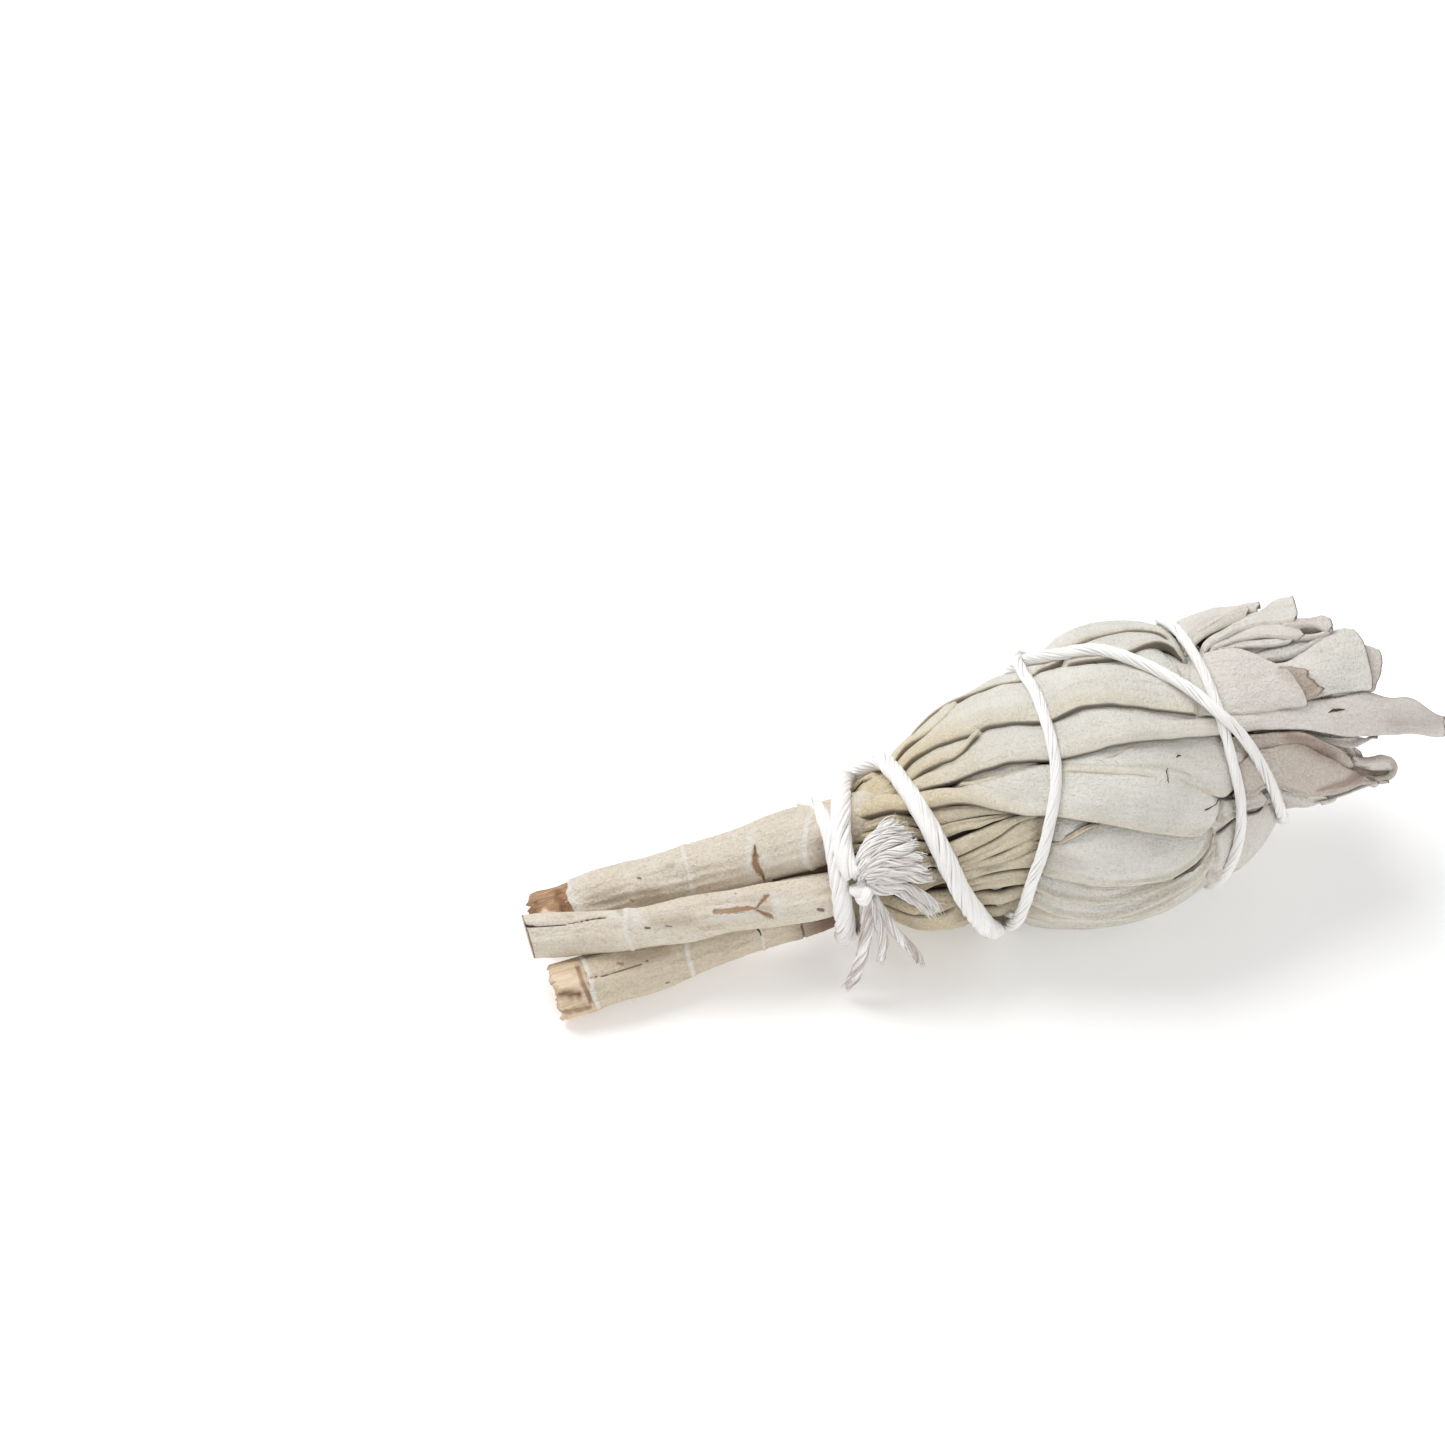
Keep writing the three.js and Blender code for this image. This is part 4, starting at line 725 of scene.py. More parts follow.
def leaf_sheet(leaf, seed, curled=True):
    """Where a traced leaf's sheet lies: shingled, with rolled margins, a torn or rounded end and a curl under."""
    rows = leaf["rows"]
    rim = leaf.get("rim", (0.9, 0.35))
    rim = rim if isinstance(rim, list) else [rim]
    torn, rounded = leaf.get("torn", 0), leaf.get("round", 0.8)
    crown, curl = leaf.get("crown", 0.35), leaf.get("curl", 0)
    length = abs(rows[-1][0] - rows[0][0]) + 1.0
    free = torn > 0

    def place(a, b):
        shown = np.clip(b / EDGE, 0, 1) if curled else b
        under = np.clip((b - EDGE) / (1 - EDGE), 0, 1) if curled else np.zeros(len(b))
        across = 1 - (1 - shown) ** 1.7 if curled else (1 - np.cos(math.pi * shown)) / 2
        cut = rounded * np.abs(2 * across - 1) ** 3.5
        if free:
            cut = cut + 0.5 * torn + ripples(seed + 9, 0, across * 12, torn * 0.5, 9, 5, 5)
            cut = cut + ripples(seed + 10, 0, across * 12, torn * 0.16, 9, 1.1, 6)
        share = a * (1 - np.clip(cut, -0.6, None) / length)
        xu, tu, hu, xl, tl, hl = edges_at(rows, share)
        x, turn = xu + (xl - xu) * across, tu + (tl - tu) * across
        r = through(OUTLINE, x)
        wide = np.hypot(xl - xu, np.radians(tl - tu) * (r + 0.5 * (hu + hl))) + 0.05
        from_low, from_up = (1 - across) * wide, across * wide
        wander = ripples(seed + 5, x, 0, 0.12, 14, 9, 3) + ripples(seed + 6, x, 0, 0.05, 4, 9, 4)
        turn = turn + np.degrees((wander - 0.3 * under) / r)
        height = hu + (hl - hu) * across**0.8 + crown * (1 - (2 * across - 1) ** 2) * np.minimum(1, wide / 6)
        rim_wide, rim_high = along_leaf([w for w, _ in rim], share), along_leaf([h for _, h in rim], share)
        bead = np.sqrt(np.clip(1 - (2 * from_low / rim_wide - 1) ** 2, 0, 1))
        height = height + bead * rim_high - 0.2 * np.exp(-(((from_low - rim_wide * 1.05) / 0.4) ** 2)) * rim_high
        yellow = np.clip(1.15 - from_low / (1.5 * rim_wide + 0.3), 0, 1) * (1 - 0.85 * smooth(46, 56, x))
        if "upper_rim" in leaf:
            up_wide, up_high = leaf["upper_rim"]
            height = height + np.sqrt(np.clip(1 - (2 * from_up / up_wide - 1) ** 2, 0, 1)) * up_high
            yellow = np.maximum(yellow, 0.7 * np.clip(1.2 - from_up / up_wide, 0, 1))
        height = height + ripples(seed, x, from_low, 0.17, 15, 6) * np.minimum(1, wide / 4)
        height = height + ripples(seed + 1, x, from_low, 0.045, 26, 1.2, 8)
        height = height + ripples(seed + 2, x, from_low, 0.05, 5, 3, 7) - pinch(x) - string_press(x, turn)
        height = height - 0.3 * np.clip(1 - from_low / 0.3, 0, 1) ** 2 - 1.6 * under
        height = height - 1.1 * (1 - smooth(0, 1.4, a * length))
        to_end = (1 - a) * length
        if not free:
            height = height - 1.2 * (1 - smooth(0, 0.9, to_end))
        height = height + curl * share**4
        # Painted shade: the curled-under part, the part tucked under the leaf above, leaves set dark and a thin line
        # along the rolled lower edge get crevice brown
        tucked = 0 if free else leaf.get("tucked", 0.7)
        deep = np.maximum(np.maximum(under, leaf.get("dark", 0.0)), (1 - smooth(0, 0.35, from_up)) * tucked)
        if curled:
            deep = np.maximum(deep, 0.65 * (1 - smooth(0.03, 0.3, from_low)))
        edge = 0.0
        if free:
            side = 0.5 * (1 - smooth(0.0, 0.12, np.minimum(from_low, from_up)))
            edge = np.maximum(1 - smooth(0.04, 0.2, to_end), side)
            yellow = yellow * 0.6
        marks = leaf_marks(x, from_low, seed, yellow, deep, leaf.get("tone"), edge)
        marks["blush"] = leaf.get("blush", 0.0)
        marks["tip"] = marks["tip"] * leaf.get("lilac", 1.0)
        # Brown patches, partly browning of the leaf and partly painted shade on lower sides and in folds
        marks["stain"] = sum(power * smooth(-1.2, 0.9, stroke(x, turn, r, line)) for power, line in BROWNING_AND_SHADE)
        return on_bundle(x, turn, height), marks

    return place


def from_neck(rows):
    """The same rows, begun at the neck where they start near it."""
    (_, turn, high, _, end, low), near = rows[0], rows[0][0] < 7
    return [(-0.1, turn, high, -0.1, end, low)] * near + rows


def petiole(rows, seed):
    """A folded leaf base: domed, sometimes grooved, with both sides tucked down."""
    rng = np.random.default_rng(seed)
    rows = from_neck(rows)
    if rows[-1][0] > 21:  # the longest run on under the string
        (xa, ta, _, xb, tb, _), (xc, tc, hc, xd, td, hd) = rows[-2:]
        rows.append((2 * xc - xa + 1.8, 2 * tc - ta, hc, 2 * xd - xb + 1.8, 2 * td - tb, hd))
    groove = 0.32 if rng.random() < 0.5 else 0.0
    groove_at = rng.uniform(-0.3, 0.3)
    length = rows[-1][0] - rows[0][0]

    def place(a, b):
        side = 2 * b - 1
        xu, tu, hu, xl, tl, hl = edges_at(rows, a)
        mid_x, mid_t = (xu + xl) / 2, (tu + tl) / 2
        x, turn = mid_x + (xl - xu) / 2 * side * OVERLAP, mid_t + (tl - tu) / 2 * side * OVERLAP
        r = through(OUTLINE, x)
        wide = np.hypot(xl - xu, np.radians(tl - tu) * r)
        dome = np.sqrt(np.clip(1 - side**2, 0, 1)) ** 0.8
        high = np.minimum(1.3, 0.65 + wide * 0.27)
        height = (hu + hl) / 2 - high + 0.25 + high * dome - pinch(x) * 0.9 - 0.6
        height = height - groove * np.exp(-(((side - groove_at) / 0.2) ** 2))
        height = height + ripples(seed + 3, x, side * 2, 0.07, 9, 0.7) + ripples(seed + 4, x, 0, 0.14, 12, 9, 3)
        height = height - 1.5 * smooth(length - 4, length + 0.2, a * length) - 0.5 * string_press(x, turn)
        # Painted shade along the tucked-down sides of each leaf base, through the deep mark
        marks = leaf_marks(x, side * wide / 2, seed, 0.5 + 0.3 * dome, np.abs(side) ** 7)
        marks["base"] = np.maximum(marks["base"], 0.65)
        return on_bundle(x, turn, height), marks

    return place


def back_leaf(turn, half, tip, seed, drop=0.0):
    """A broad leaf on the far side, in the same rows as the traced ones."""
    rng = np.random.default_rng(seed)
    rows = []
    for x, low, high in [
        (7, 6, 5), (14, 9, 6), (22, half - 2, half - 5), (31, half + 5, half), (40, half + 5, half - 1),
        (tip - 6, half, half - 4), (tip, 7, 5),
    ]:
        skew = rng.uniform(-1.5, 1.5)
        rows.append((x, turn - low + skew, -0.9 - drop, x + rng.uniform(-0.6, 0.6), turn + high + skew, 0.25 - drop))
    rim = [(1.0, 0.4), (rng.uniform(1.1, 1.9), 0.55), (1.1, 0.4)]
    # Leaves lying lower, under the others, get painted shade through dark
    return {"dark": 0.25 * (drop > 0), "rows": rows, "rim": rim, "round": 2.0}


def back_tip(turn, end, seed):
    """A torn leaf end on the far side."""
    rng = np.random.default_rng(seed)
    rows = [
        (48, turn - 15, -0.8, 48, turn + 12, -0.4), (56, turn - 15, -0.8, 56, turn + 13, -0.4),
        (end - 5, turn - 13, -0.9, end - 4, turn + 11, -0.6), (end - 1, turn - 8, -1.0, end, turn + 6, -0.7),
    ]
    return {"rows": rows, "torn": 0.7, "crown": 0.5, "curl": rng.uniform(0, 0.9), "rim": (0.7, 0.3)}


def inner_tips(name, seed):
    """Leaf ends inside the open end, ring within ring."""
    rng = np.random.default_rng(seed)
    low, high = SECTORS[name]
    for height, count, end in TIP_RINGS[name]:
        step = (high - low) / count
        for i in range(count):
            turn = low + step * (i + 0.5) + 6 * (rng.random() - 0.5)
            half = step * (0.55 + 0.15 * rng.random())
            tip = end + 7 * (rng.random() - 0.5)
            rows = [
                (51, turn - half, height, 51, turn + half, height), (58, turn - half, height, 58, turn + half, height),
                (tip - 3, turn - half * 0.9, height, tip - 2, turn + half * 0.9, height),
                (tip, turn - half * 0.5, height, tip - 1, turn + half * 0.6, height),
            ]
            fold = rng.uniform(-0.8, 1.6) if height > -9 else 0.3
            curl, tone = rng.uniform(-1.0, 0.8), rng.uniform(-0.9, 0.4)
            yield {"rows": rows, "torn": 0.8, "crown": fold, "curl": curl, "tone": tone}


def plain_petiole(turn, end, width, seed):
    """A leaf base away from the traced ones, as a row of edges."""
    rng = np.random.default_rng(seed)
    drift, shift = rng.uniform(-5, 5), rng.uniform(-0.4, 0.1)
    start = rng.uniform(-6, -4) if 140 < turn < 300 else -0.1
    rows = []
    for share in (0, 0.25, 0.5, 0.75, 1):
        x = start + (end - start) * share
        half = math.degrees(width / 2 * (0.75 + 0.45 * share) / float(through(OUTLINE, x)))
        middle = turn + drift * share**2 + rng.uniform(-1, 1)
        rows.append((x, middle - half, shift, x, middle + half, shift))
    return rows


# ---- rods: yarns, strands and splits


def frames(points):
    """Two directions across a path at each of its points, turning as little as can be."""
    ahead = np.gradient(points, axis=0)
    ahead /= np.linalg.norm(ahead, axis=1, keepdims=True)
    side = np.cross(ahead[0], [0.3, 0.5, 0.8])
    sides = []
    for direction in ahead:
        side = side - direction * np.dot(side, direction)
        side = side / np.linalg.norm(side)
        sides.append(side)
    sides = np.array(sides)
    return sides, np.cross(ahead, sides)


def spaced(points, step):
    """The same path with points a step apart, and whatever else each point carries."""
    length = np.concatenate([[0], np.cumsum(np.linalg.norm(np.diff(points[:, :3], axis=0), axis=1))])
    at = np.linspace(0, length[-1], max(4, int(length[-1] / step)))
    return np.stack([np.interp(at, length, column) for column in points.T], axis=1)


def smooth_path(knots, count=60):
    """A smooth path through a few points."""
    knots = np.asarray(knots, float)
    t = np.arange(len(knots))
    at = np.linspace(0, len(knots) - 1, count)
    return np.stack([through(np.stack([t, knots[:, i]], axis=1), at) for i in range(3)], axis=1)


def rod(made, points, radius, sides=7, marks=None):
    """A closed round rod along a path."""
    side, up = frames(points)
    radius = np.broadcast_to(radius, len(points)).astype(float)
    count = len(points)
    step, seed = float(np.linalg.norm(points[1] - points[0])), float(points[0] @ (3.1, 5.7, 7.3)) % 50

    def place(a, b):
        row = np.rint(a * (count + 1)).astype(int)
        at = np.clip(row - 1, 0, count - 1)
        r = np.where((row == 0) | (row == count + 1), 0, radius[at])
        angle = 2 * math.pi * closed(b)
        ring = side[at] * np.cos(angle)[:, None] + up[at] * np.sin(angle)[:, None]
        values = {name: value[at] if np.ndim(value) else value for name, value in (marks or {}).items()}
        values["grain"] = np.stack([at * step, angle, np.full(len(a), seed)], axis=-1)
        return points[at] + ring * r[:, None], values

    made.tube((count + 1, sides), place)


def twisted(made, points, radius, yarns, pitch, seed, sides=5):
    """A twisted string along a path: yarns wound round it, and a filler inside."""
    rng = np.random.default_rng(seed)
    side, up = frames(points)
    count = len(points)
    length = np.concatenate([[0], np.cumsum(np.linalg.norm(np.diff(points, axis=0), axis=1))])
    radius = np.broadcast_to(radius, count).astype(float)
    yarn = radius * math.sin(math.pi / yarns) / (1 + math.sin(math.pi / yarns)) * 1.45
    for i in range(yarns):
        phase = 2 * math.pi * i / yarns + rng.uniform(-0.1, 0.1)
        angle = 2 * math.pi * length / pitch + phase + 0.16 * np.sin(length / rng.uniform(2, 4) + rng.uniform(0, 6))
        out = (radius - yarn) * (1 + 0.05 * np.sin(length / rng.uniform(1.2, 2.5) + rng.uniform(0, 6)))
        centre = points + side * (np.cos(angle) * out)[:, None] + up * (np.sin(angle) * out)[:, None]
        rod(made, centre, yarn * (1 + 0.08 * np.sin(length / rng.uniform(0.8, 2) + rng.uniform(0, 6))), sides,
            {"tone": rng.uniform(-1, 1)})
    rod(made, points, radius * 0.66, sides, {"tone": -1.0})


# ---- materials


class Signal:
    """A number that varies over a surface. Sums and products of signals add Math nodes."""

    def __init__(self, recipe, socket):
        self.recipe, self.socket = recipe, socket

    def _with(self, operation, first, second):
        node = self.recipe.node("ShaderNodeMath", {"operation": operation}, {0: first, 1: second})
        return Signal(self.recipe, node.outputs[0])

    def __add__(self, other):
        return self._with("ADD", self, other)

    def __radd__(self, other):
        return self._with("ADD", other, self)

    def __sub__(self, other):
        return self._with("SUBTRACT", self, other)

    def __rsub__(self, other):
        return self._with("SUBTRACT", other, self)

    def __mul__(self, other):
        return self._with("MULTIPLY", self, other)

    def __rmul__(self, other):
        return self._with("MULTIPLY", other, self)


class Recipe:
    """One material's nodes."""

    def __init__(self, name, roughness, sheen=0.0, specular=0.3):
        self.material = bpy.data.materials.new(name)
        self.material.use_nodes = True
        self.tree = self.material.node_tree
        self.shader = self.tree.nodes["Principled BSDF"]
        self.shader.inputs["Roughness"].default_value = roughness
        self.shader.inputs["Sheen Weight"].default_value = sheen
        self.shader.inputs["Specular IOR Level"].default_value = specular

    def node(self, kind, settings=None, inputs=None):
        """Adds a node, sets its settings, then fills its sockets with values or links."""
        made = self.tree.nodes.new(kind)
        for name, value in (settings or {}).items():
            setattr(made, name, value)
        for key, value in (inputs or {}).items():
            socket = made.inputs[key]
            if isinstance(value, Signal):
                self.tree.links.new(value.socket, socket)
            elif isinstance(value, bpy.types.NodeSocket):
                self.tree.links.new(value, socket)
            else:
                socket.default_value = (*value, 1) if socket.type == "RGBA" and len(value) == 3 else value
        return made

    def mark(self, name):
        """A number that the mesh carries."""
        return Signal(self, self.node("ShaderNodeAttribute", {"attribute_name": name}).outputs["Fac"])

    def grain(self, scale):
        """The place along and across a leaf, stalk or yarn, stretched by a scale on each axis."""
        place = self.node("ShaderNodeAttribute", {"attribute_name": "grain"}).outputs["Vector"]
        return self.node("ShaderNodeMapping", {}, {"Vector": place, "Scale": scale}).outputs[0]

    def place(self):
        """The place on the object, in metres."""
        where = self.node("ShaderNodeTexCoord").outputs["Object"]
        return self.node("ShaderNodeMapping", {}, {"Vector": where}).outputs[0]

    def noise(self, where, scale, detail, roughness=0.5):
        """Cloudy noise from 0 to 1."""
        inputs = {"Vector": where, "Scale": scale, "Detail": detail, "Roughness": roughness}
        return Signal(self, self.node("ShaderNodeTexNoise", {}, inputs).outputs["Fac"])

    def step(self, signal, low, high):
        """0 below low, 1 above high."""
        made = self.node("ShaderNodeMapRange", {"interpolation_type": "SMOOTHSTEP"}, {
            "Value": signal, "From Min": low, "From Max": high,
        })
        return Signal(self, made.outputs[0])

    def mix(self, share, first, second):
        """A colour between the first and the second."""
        return self.node("ShaderNodeMix", {"data_type": "RGBA"}, {0: share, 6: first, 7: second}).outputs[2]

    def bump(self, height, strength, distance, normal=None):
        """A surface raised where the height is more, over another bump or none."""
        inputs = {"Height": height, "Strength": strength, "Distance": distance}
        if normal is not None:
            inputs["Normal"] = normal
        return self.node("ShaderNodeBump", {}, inputs).outputs[0]

    def finish(self, colour, normal=None):
        """The material, once its colour and its bumps are linked."""
        self.tree.links.new(colour, self.shader.inputs["Base Color"])
        if normal is not None:
            self.tree.links.new(normal, self.shader.inputs["Normal"])
        return self.material


def linear(red, green, blue):
    """A colour as seen on a screen, 0 to 255, for a shader."""
    return tuple((c / 255 / 12.92) if c <= 10 else ((c / 255 + 0.055) / 1.055) ** 2.4 for c in (red, green, blue))


@functools.cache
def leaf_material():
    look = bpy.context.scene.smudge_leaves
    r = Recipe("felted sage leaf", 0.92, sheen=0.1, specular=0.2)
    cloudy = r.noise(r.place(), 170, 3, 0.55)
    streaks = r.noise(r.grain((0.12, 1.3, 1)), 1.0, 4, 0.6)
    felt = r.noise(r.place(), 3000, 4, 0.65)
    pits = r.noise(r.place(), 1300, 3, 0.55)
    tone = r.mark("tone")
    blush = r.mark("blush")
    colour = r.mix(r.step(cloudy + 0.08 * tone, 0.35, 0.66), look.pale, look.green)
    colour = r.mix(r.mark("tip") * r.step(cloudy + 0.1 * tone, 0.22, 0.6) * 0.9, colour, look.lilac)
    colour = r.mix(r.step(blush, 0.1, 1.2) * 0.8, colour, look.blush)
    colour = r.mix(r.step(0 - blush, 0.1, 1.2) * 0.8, colour, look.slate)
    colour = r.mix(r.step(0 - tone, 0.75, 1.0) * 0.35, colour, look.stain)
    colour = r.mix(r.mark("base") * 0.8, colour, look.straw)
    colour = r.mix(r.step(r.mark("rim"), 0.1, 1.1) * (0.4 + 0.4 * r.mark("base")), colour, look.rim)
    colour = r.mix(r.step(streaks, 0.52, 0.78) * 0.28, colour, look.stain)
    colour = r.mix(r.step(felt, 0.48, 0.76) * 0.36, colour, look.speck)
    colour = r.mix(r.step(0 - felt, -0.54, -0.32) * 0.45, colour, look.down)
    colour = r.mix(r.step(pits, 0.6, 0.85) * 0.2, colour, look.stain)
    # Brown patches: partly browning, partly painted shade on lower sides and in folds
    colour = r.mix(r.step(r.mark("stain") * (0.6 + 0.8 * streaks), 0.05, 1.0), colour, look.brown)
    colour = r.mix(r.step(r.mark("edge"), 0.15, 0.9) * 0.75, colour, look.torn)
    # Painted shade where leaves curl under or tuck beneath the next, from the deep mark
    colour = r.mix(r.step(r.mark("deep"), 0.05, 0.9), colour, look.crevice_shade)
    fold = r.bump(streaks, 0.4, 0.0003)
    return r.finish(colour, r.bump(felt, 1.0, 0.0005, r.bump(pits, 0.5, 0.0004, fold)))


# Painted shade: the dark brown of the shaded inner leaves, also used for the split shadows
@functools.cache
def shade_material():
    r = Recipe("shaded inner leaves", 0.95, specular=0.1)
    return r.finish(r.mix(r.noise(r.place(), 400, 3), linear(70, 55, 42), linear(112, 94, 74)))


@functools.cache
def bark_material():
    look = bpy.context.scene.smudge_stems
    r = Recipe("sage bark", 0.88, sheen=0.1, specular=0.25)
    patches = r.noise(r.place(), 180, 4, 0.6)
    fibres = r.noise(r.grain((0.35, 3.2, 1)), 1.0, 4, 0.65)
    pores = r.noise(r.place(), 2600, 4, 0.65)
    specks = r.noise(r.place(), 800, 2, 0.5)
    colour = r.mix(r.step(patches, 0.35, 0.7), look.bark, look.bark_pale)
    colour = r.mix(r.mark("tan") * r.step(patches, 0.25, 0.6) * 0.9, colour, look.bark_tan)
    colour = r.mix(r.mark("tone") * 0.7, colour, look.bark_lilac)
    colour = r.mix(r.step(fibres, 0.52, 0.75) * 0.35, colour, look.bark_brown)
    colour = r.mix(r.step(pores, 0.44, 0.76) * 0.4, colour, look.bark_brown)
    colour = r.mix(r.step(0 - pores, -0.5, -0.3) * 0.35, colour, look.ring)
    colour = r.mix(r.step(specks, 0.72, 0.8) * 0.5, colour, look.scar)
    colour = r.mix(r.mark("stain") * (0.25 + 0.9 * fibres) * 0.6, colour, look.bark_brown)
    colour = r.mix(r.mark("white") * 0.7, colour, look.ring)
    # Painted shade on the bark beside the string, from the brown mark
    colour = r.mix(r.mark("brown") * 0.8, colour, look.neck)
    colour = r.mix(r.mark("ring") * (1.15 - 0.4 * fibres), colour, look.ring)
    colour = r.mix(r.step(r.mark("scar"), 0.2, 0.8) * (0.6 + 0.7 * fibres), colour, look.scar)
    colour = r.mix(r.step(r.mark("speck"), 0.2, 0.8) * 0.8, colour, look.speck)
    # Painted shade in cracks, notches, scar grooves and along the bark's rounded end, from the dark mark
    colour = r.mix(r.step(r.mark("dark"), 0.3, 0.8), colour, look.crack_shade)
    lines = r.bump(fibres, 0.4, 0.0002)
    return r.finish(colour, r.bump(pores, 1.0, 0.0004, lines))


@functools.cache
def wood_material():
    look = bpy.context.scene.smudge_stems
    r = Recipe("torn wood", 0.85, specular=0.2)
    fibres = r.noise(r.grain((0.4, 4.0, 1)), 1.0, 4, 0.7)
    colour = r.mix(r.step(fibres, 0.35, 0.65), look.wood, look.wood_brown)
    colour = r.mix(r.mark("pale") * (1.1 - 0.5 * fibres), colour, look.wood_pale)
    # Painted shade in the hollows and dark marks of the torn ends
    colour = r.mix(r.step(r.mark("dark"), 0.1, 0.95), colour, look.wood_hollow_shade)
    return r.finish(colour, r.bump(fibres, 0.7, 0.0003))


@functools.cache
def string_material():
    look = bpy.context.scene.smudge_string
    r = Recipe("cotton string", 0.9, sheen=0.3, specular=0.2)
    fibre = r.noise(r.grain((0.7, 3.5, 1)), 1.0, 3, 0.6)
    cloud = r.noise(r.place(), 220, 2, 0.5)
    colour = r.mix(r.step(fibre + 0.08 * r.mark("tone"), 0.42, 0.72), look.cotton, look.cotton_warm)
    colour = r.mix(r.step(cloud, 0.5, 0.75) * 0.35, colour, look.cotton_warm)
    # Painted shade on the tuft and the loose ends, with some soiling
    colour = r.mix(r.mark("dirt") * r.step(fibre + 0.3 * r.mark("tone"), 0.2, 0.7), colour, look.dirt)
    return r.finish(colour, r.bump(fibre, 0.35, 0.00008))


# ---- settings


def colour_setting(name, description, rgb):
    """A colour in the panel, given as seen on a screen."""
    return bpy.props.FloatVectorProperty(
        name=name, description=description, subtype="COLOR", size=4, min=0, max=1, default=(*linear(*rgb), 1)
    )


def number_setting(name, description, default, subtype):
    """A length, angle or share in the panel."""
    return bpy.props.FloatProperty(name=name, description=description, default=default, subtype=subtype)


class LeafSettings(bpy.types.PropertyGroup):
    thickness: number_setting("Thickness", "How thick a dried leaf is", 0.0004, "DISTANCE")
    pale: colour_setting("Pale", "The felted face of a leaf", (252, 249, 240))
    green: colour_setting("Grey green", "The greyer patches", (242, 239, 229))
    lilac: colour_setting("Lilac", "The upper leaves towards the tip", (248, 239, 232))
    blush: colour_setting("Blush", "The pinkish dry folds", (204, 184, 166))
    slate: colour_setting("Slate", "A bluish grey leaf", (220, 219, 213))
    straw: colour_setting("Straw", "The leaf bases at the neck", (240, 225, 190))
    rim: colour_setting("Margin", "The rolled leaf margins", (234, 214, 174))
    stain: colour_setting("Stain", "Darker streaks along the leaf", (196, 180, 156))
    speck: colour_setting("Speck", "The dark side of the felt's grain", (200, 190, 170))
    down: colour_setting("Down", "The light side of the felt's grain", (253, 252, 246))
    # Partly a browned leaf, partly painted shade on lower sides and in folds
    brown: colour_setting("Brown stain", "Where a leaf has browned", (150, 112, 92))
    torn: colour_setting("Torn edge", "Thin brown lines at torn edges", (128, 98, 84))
    # Painted shade: the dark brown given to crevices, curled-under parts and shaded leaves
    crevice_shade: colour_setting("Crevice", "Where a leaf tucks under the next", (74, 56, 42))


class StemSettings(bpy.types.PropertyGroup):
    bark: colour_setting("Bark", "The stalks' skin", (235, 223, 202))
    bark_pale: colour_setting("Pale bark", "The paler patches", (243, 236, 222))
    bark_tan: colour_setting("Tan bark", "The darker lower stalk", (221, 204, 176))
    bark_brown: colour_setting("Brown bark", "Fibres and pores", (176, 156, 130))
    bark_lilac: colour_setting("Lilac bark", "The cooler parts of the bark", (226, 213, 205))
    ring: colour_setting("Ring", "The pale rings at the leaf joints", (242, 237, 228))
    scar: colour_setting("Scar", "Leaf scars", (184, 148, 116))
    speck: colour_setting("Speck", "Dark pits and specks", (112, 92, 80))
    # Painted shade on the bark beside the string
    neck: colour_setting("Neck shade", "The brown bark beside the string", (134, 100, 82))
    # Painted shade in the bark's cracks and hollows
    crack_shade: colour_setting("Crack", "Cracks and hollows", (84, 56, 62))
    wood: colour_setting("Wood", "The torn wood at the broken ends", (198, 164, 130))
    wood_brown: colour_setting("Brown wood", "The darker fibres", (156, 120, 92))
    wood_pale: colour_setting("Pale wood", "Fresh wood", (246, 226, 198))
    # Painted shade in the wood's hollows
    wood_hollow_shade: colour_setting("Dark wood", "Hollows in the wood", (130, 94, 74))


class StringSettings(bpy.types.PropertyGroup):
    yarns: bpy.props.IntProperty(name="Yarns", description="Yarns that show round the string", default=14, min=3)
    pitch: number_setting("Twist", "Length of string in which a yarn goes once round", 0.0145, "DISTANCE")
    fuzz: bpy.props.IntProperty(name="Fuzz", description="Loose fibres along the string", default=1000, min=0)
    cotton: colour_setting("Cotton", "The string's light side", (255, 254, 252))
    cotton_warm: colour_setting("Warm cotton", "The string's darker fibres", (244, 238, 235))
    # Painted shade on the loose ends and the tuft, with some soiling
    dirt: colour_setting("Shaded and soiled cotton", "The loose ends' brownish side", (168, 142, 130))


class StageSettings(bpy.types.PropertyGroup):
    azimuth: number_setting("Azimuth", "Direction that the camera looks from", math.radians(-14.2), "ANGLE")
    elevation: number_setting("Elevation", "Height of the camera above the horizon", math.radians(48), "ANGLE")
    distance: number_setting("Distance", "From the neck to the camera", 1.2, "DISTANCE")
    floor_glow: number_setting("Floor glow", "How much the floor lights itself, as a light table does", 0.2, "FACTOR")
    floor: colour_setting("Floor", "The pale floor", (250, 250, 250))


# ---- pieces


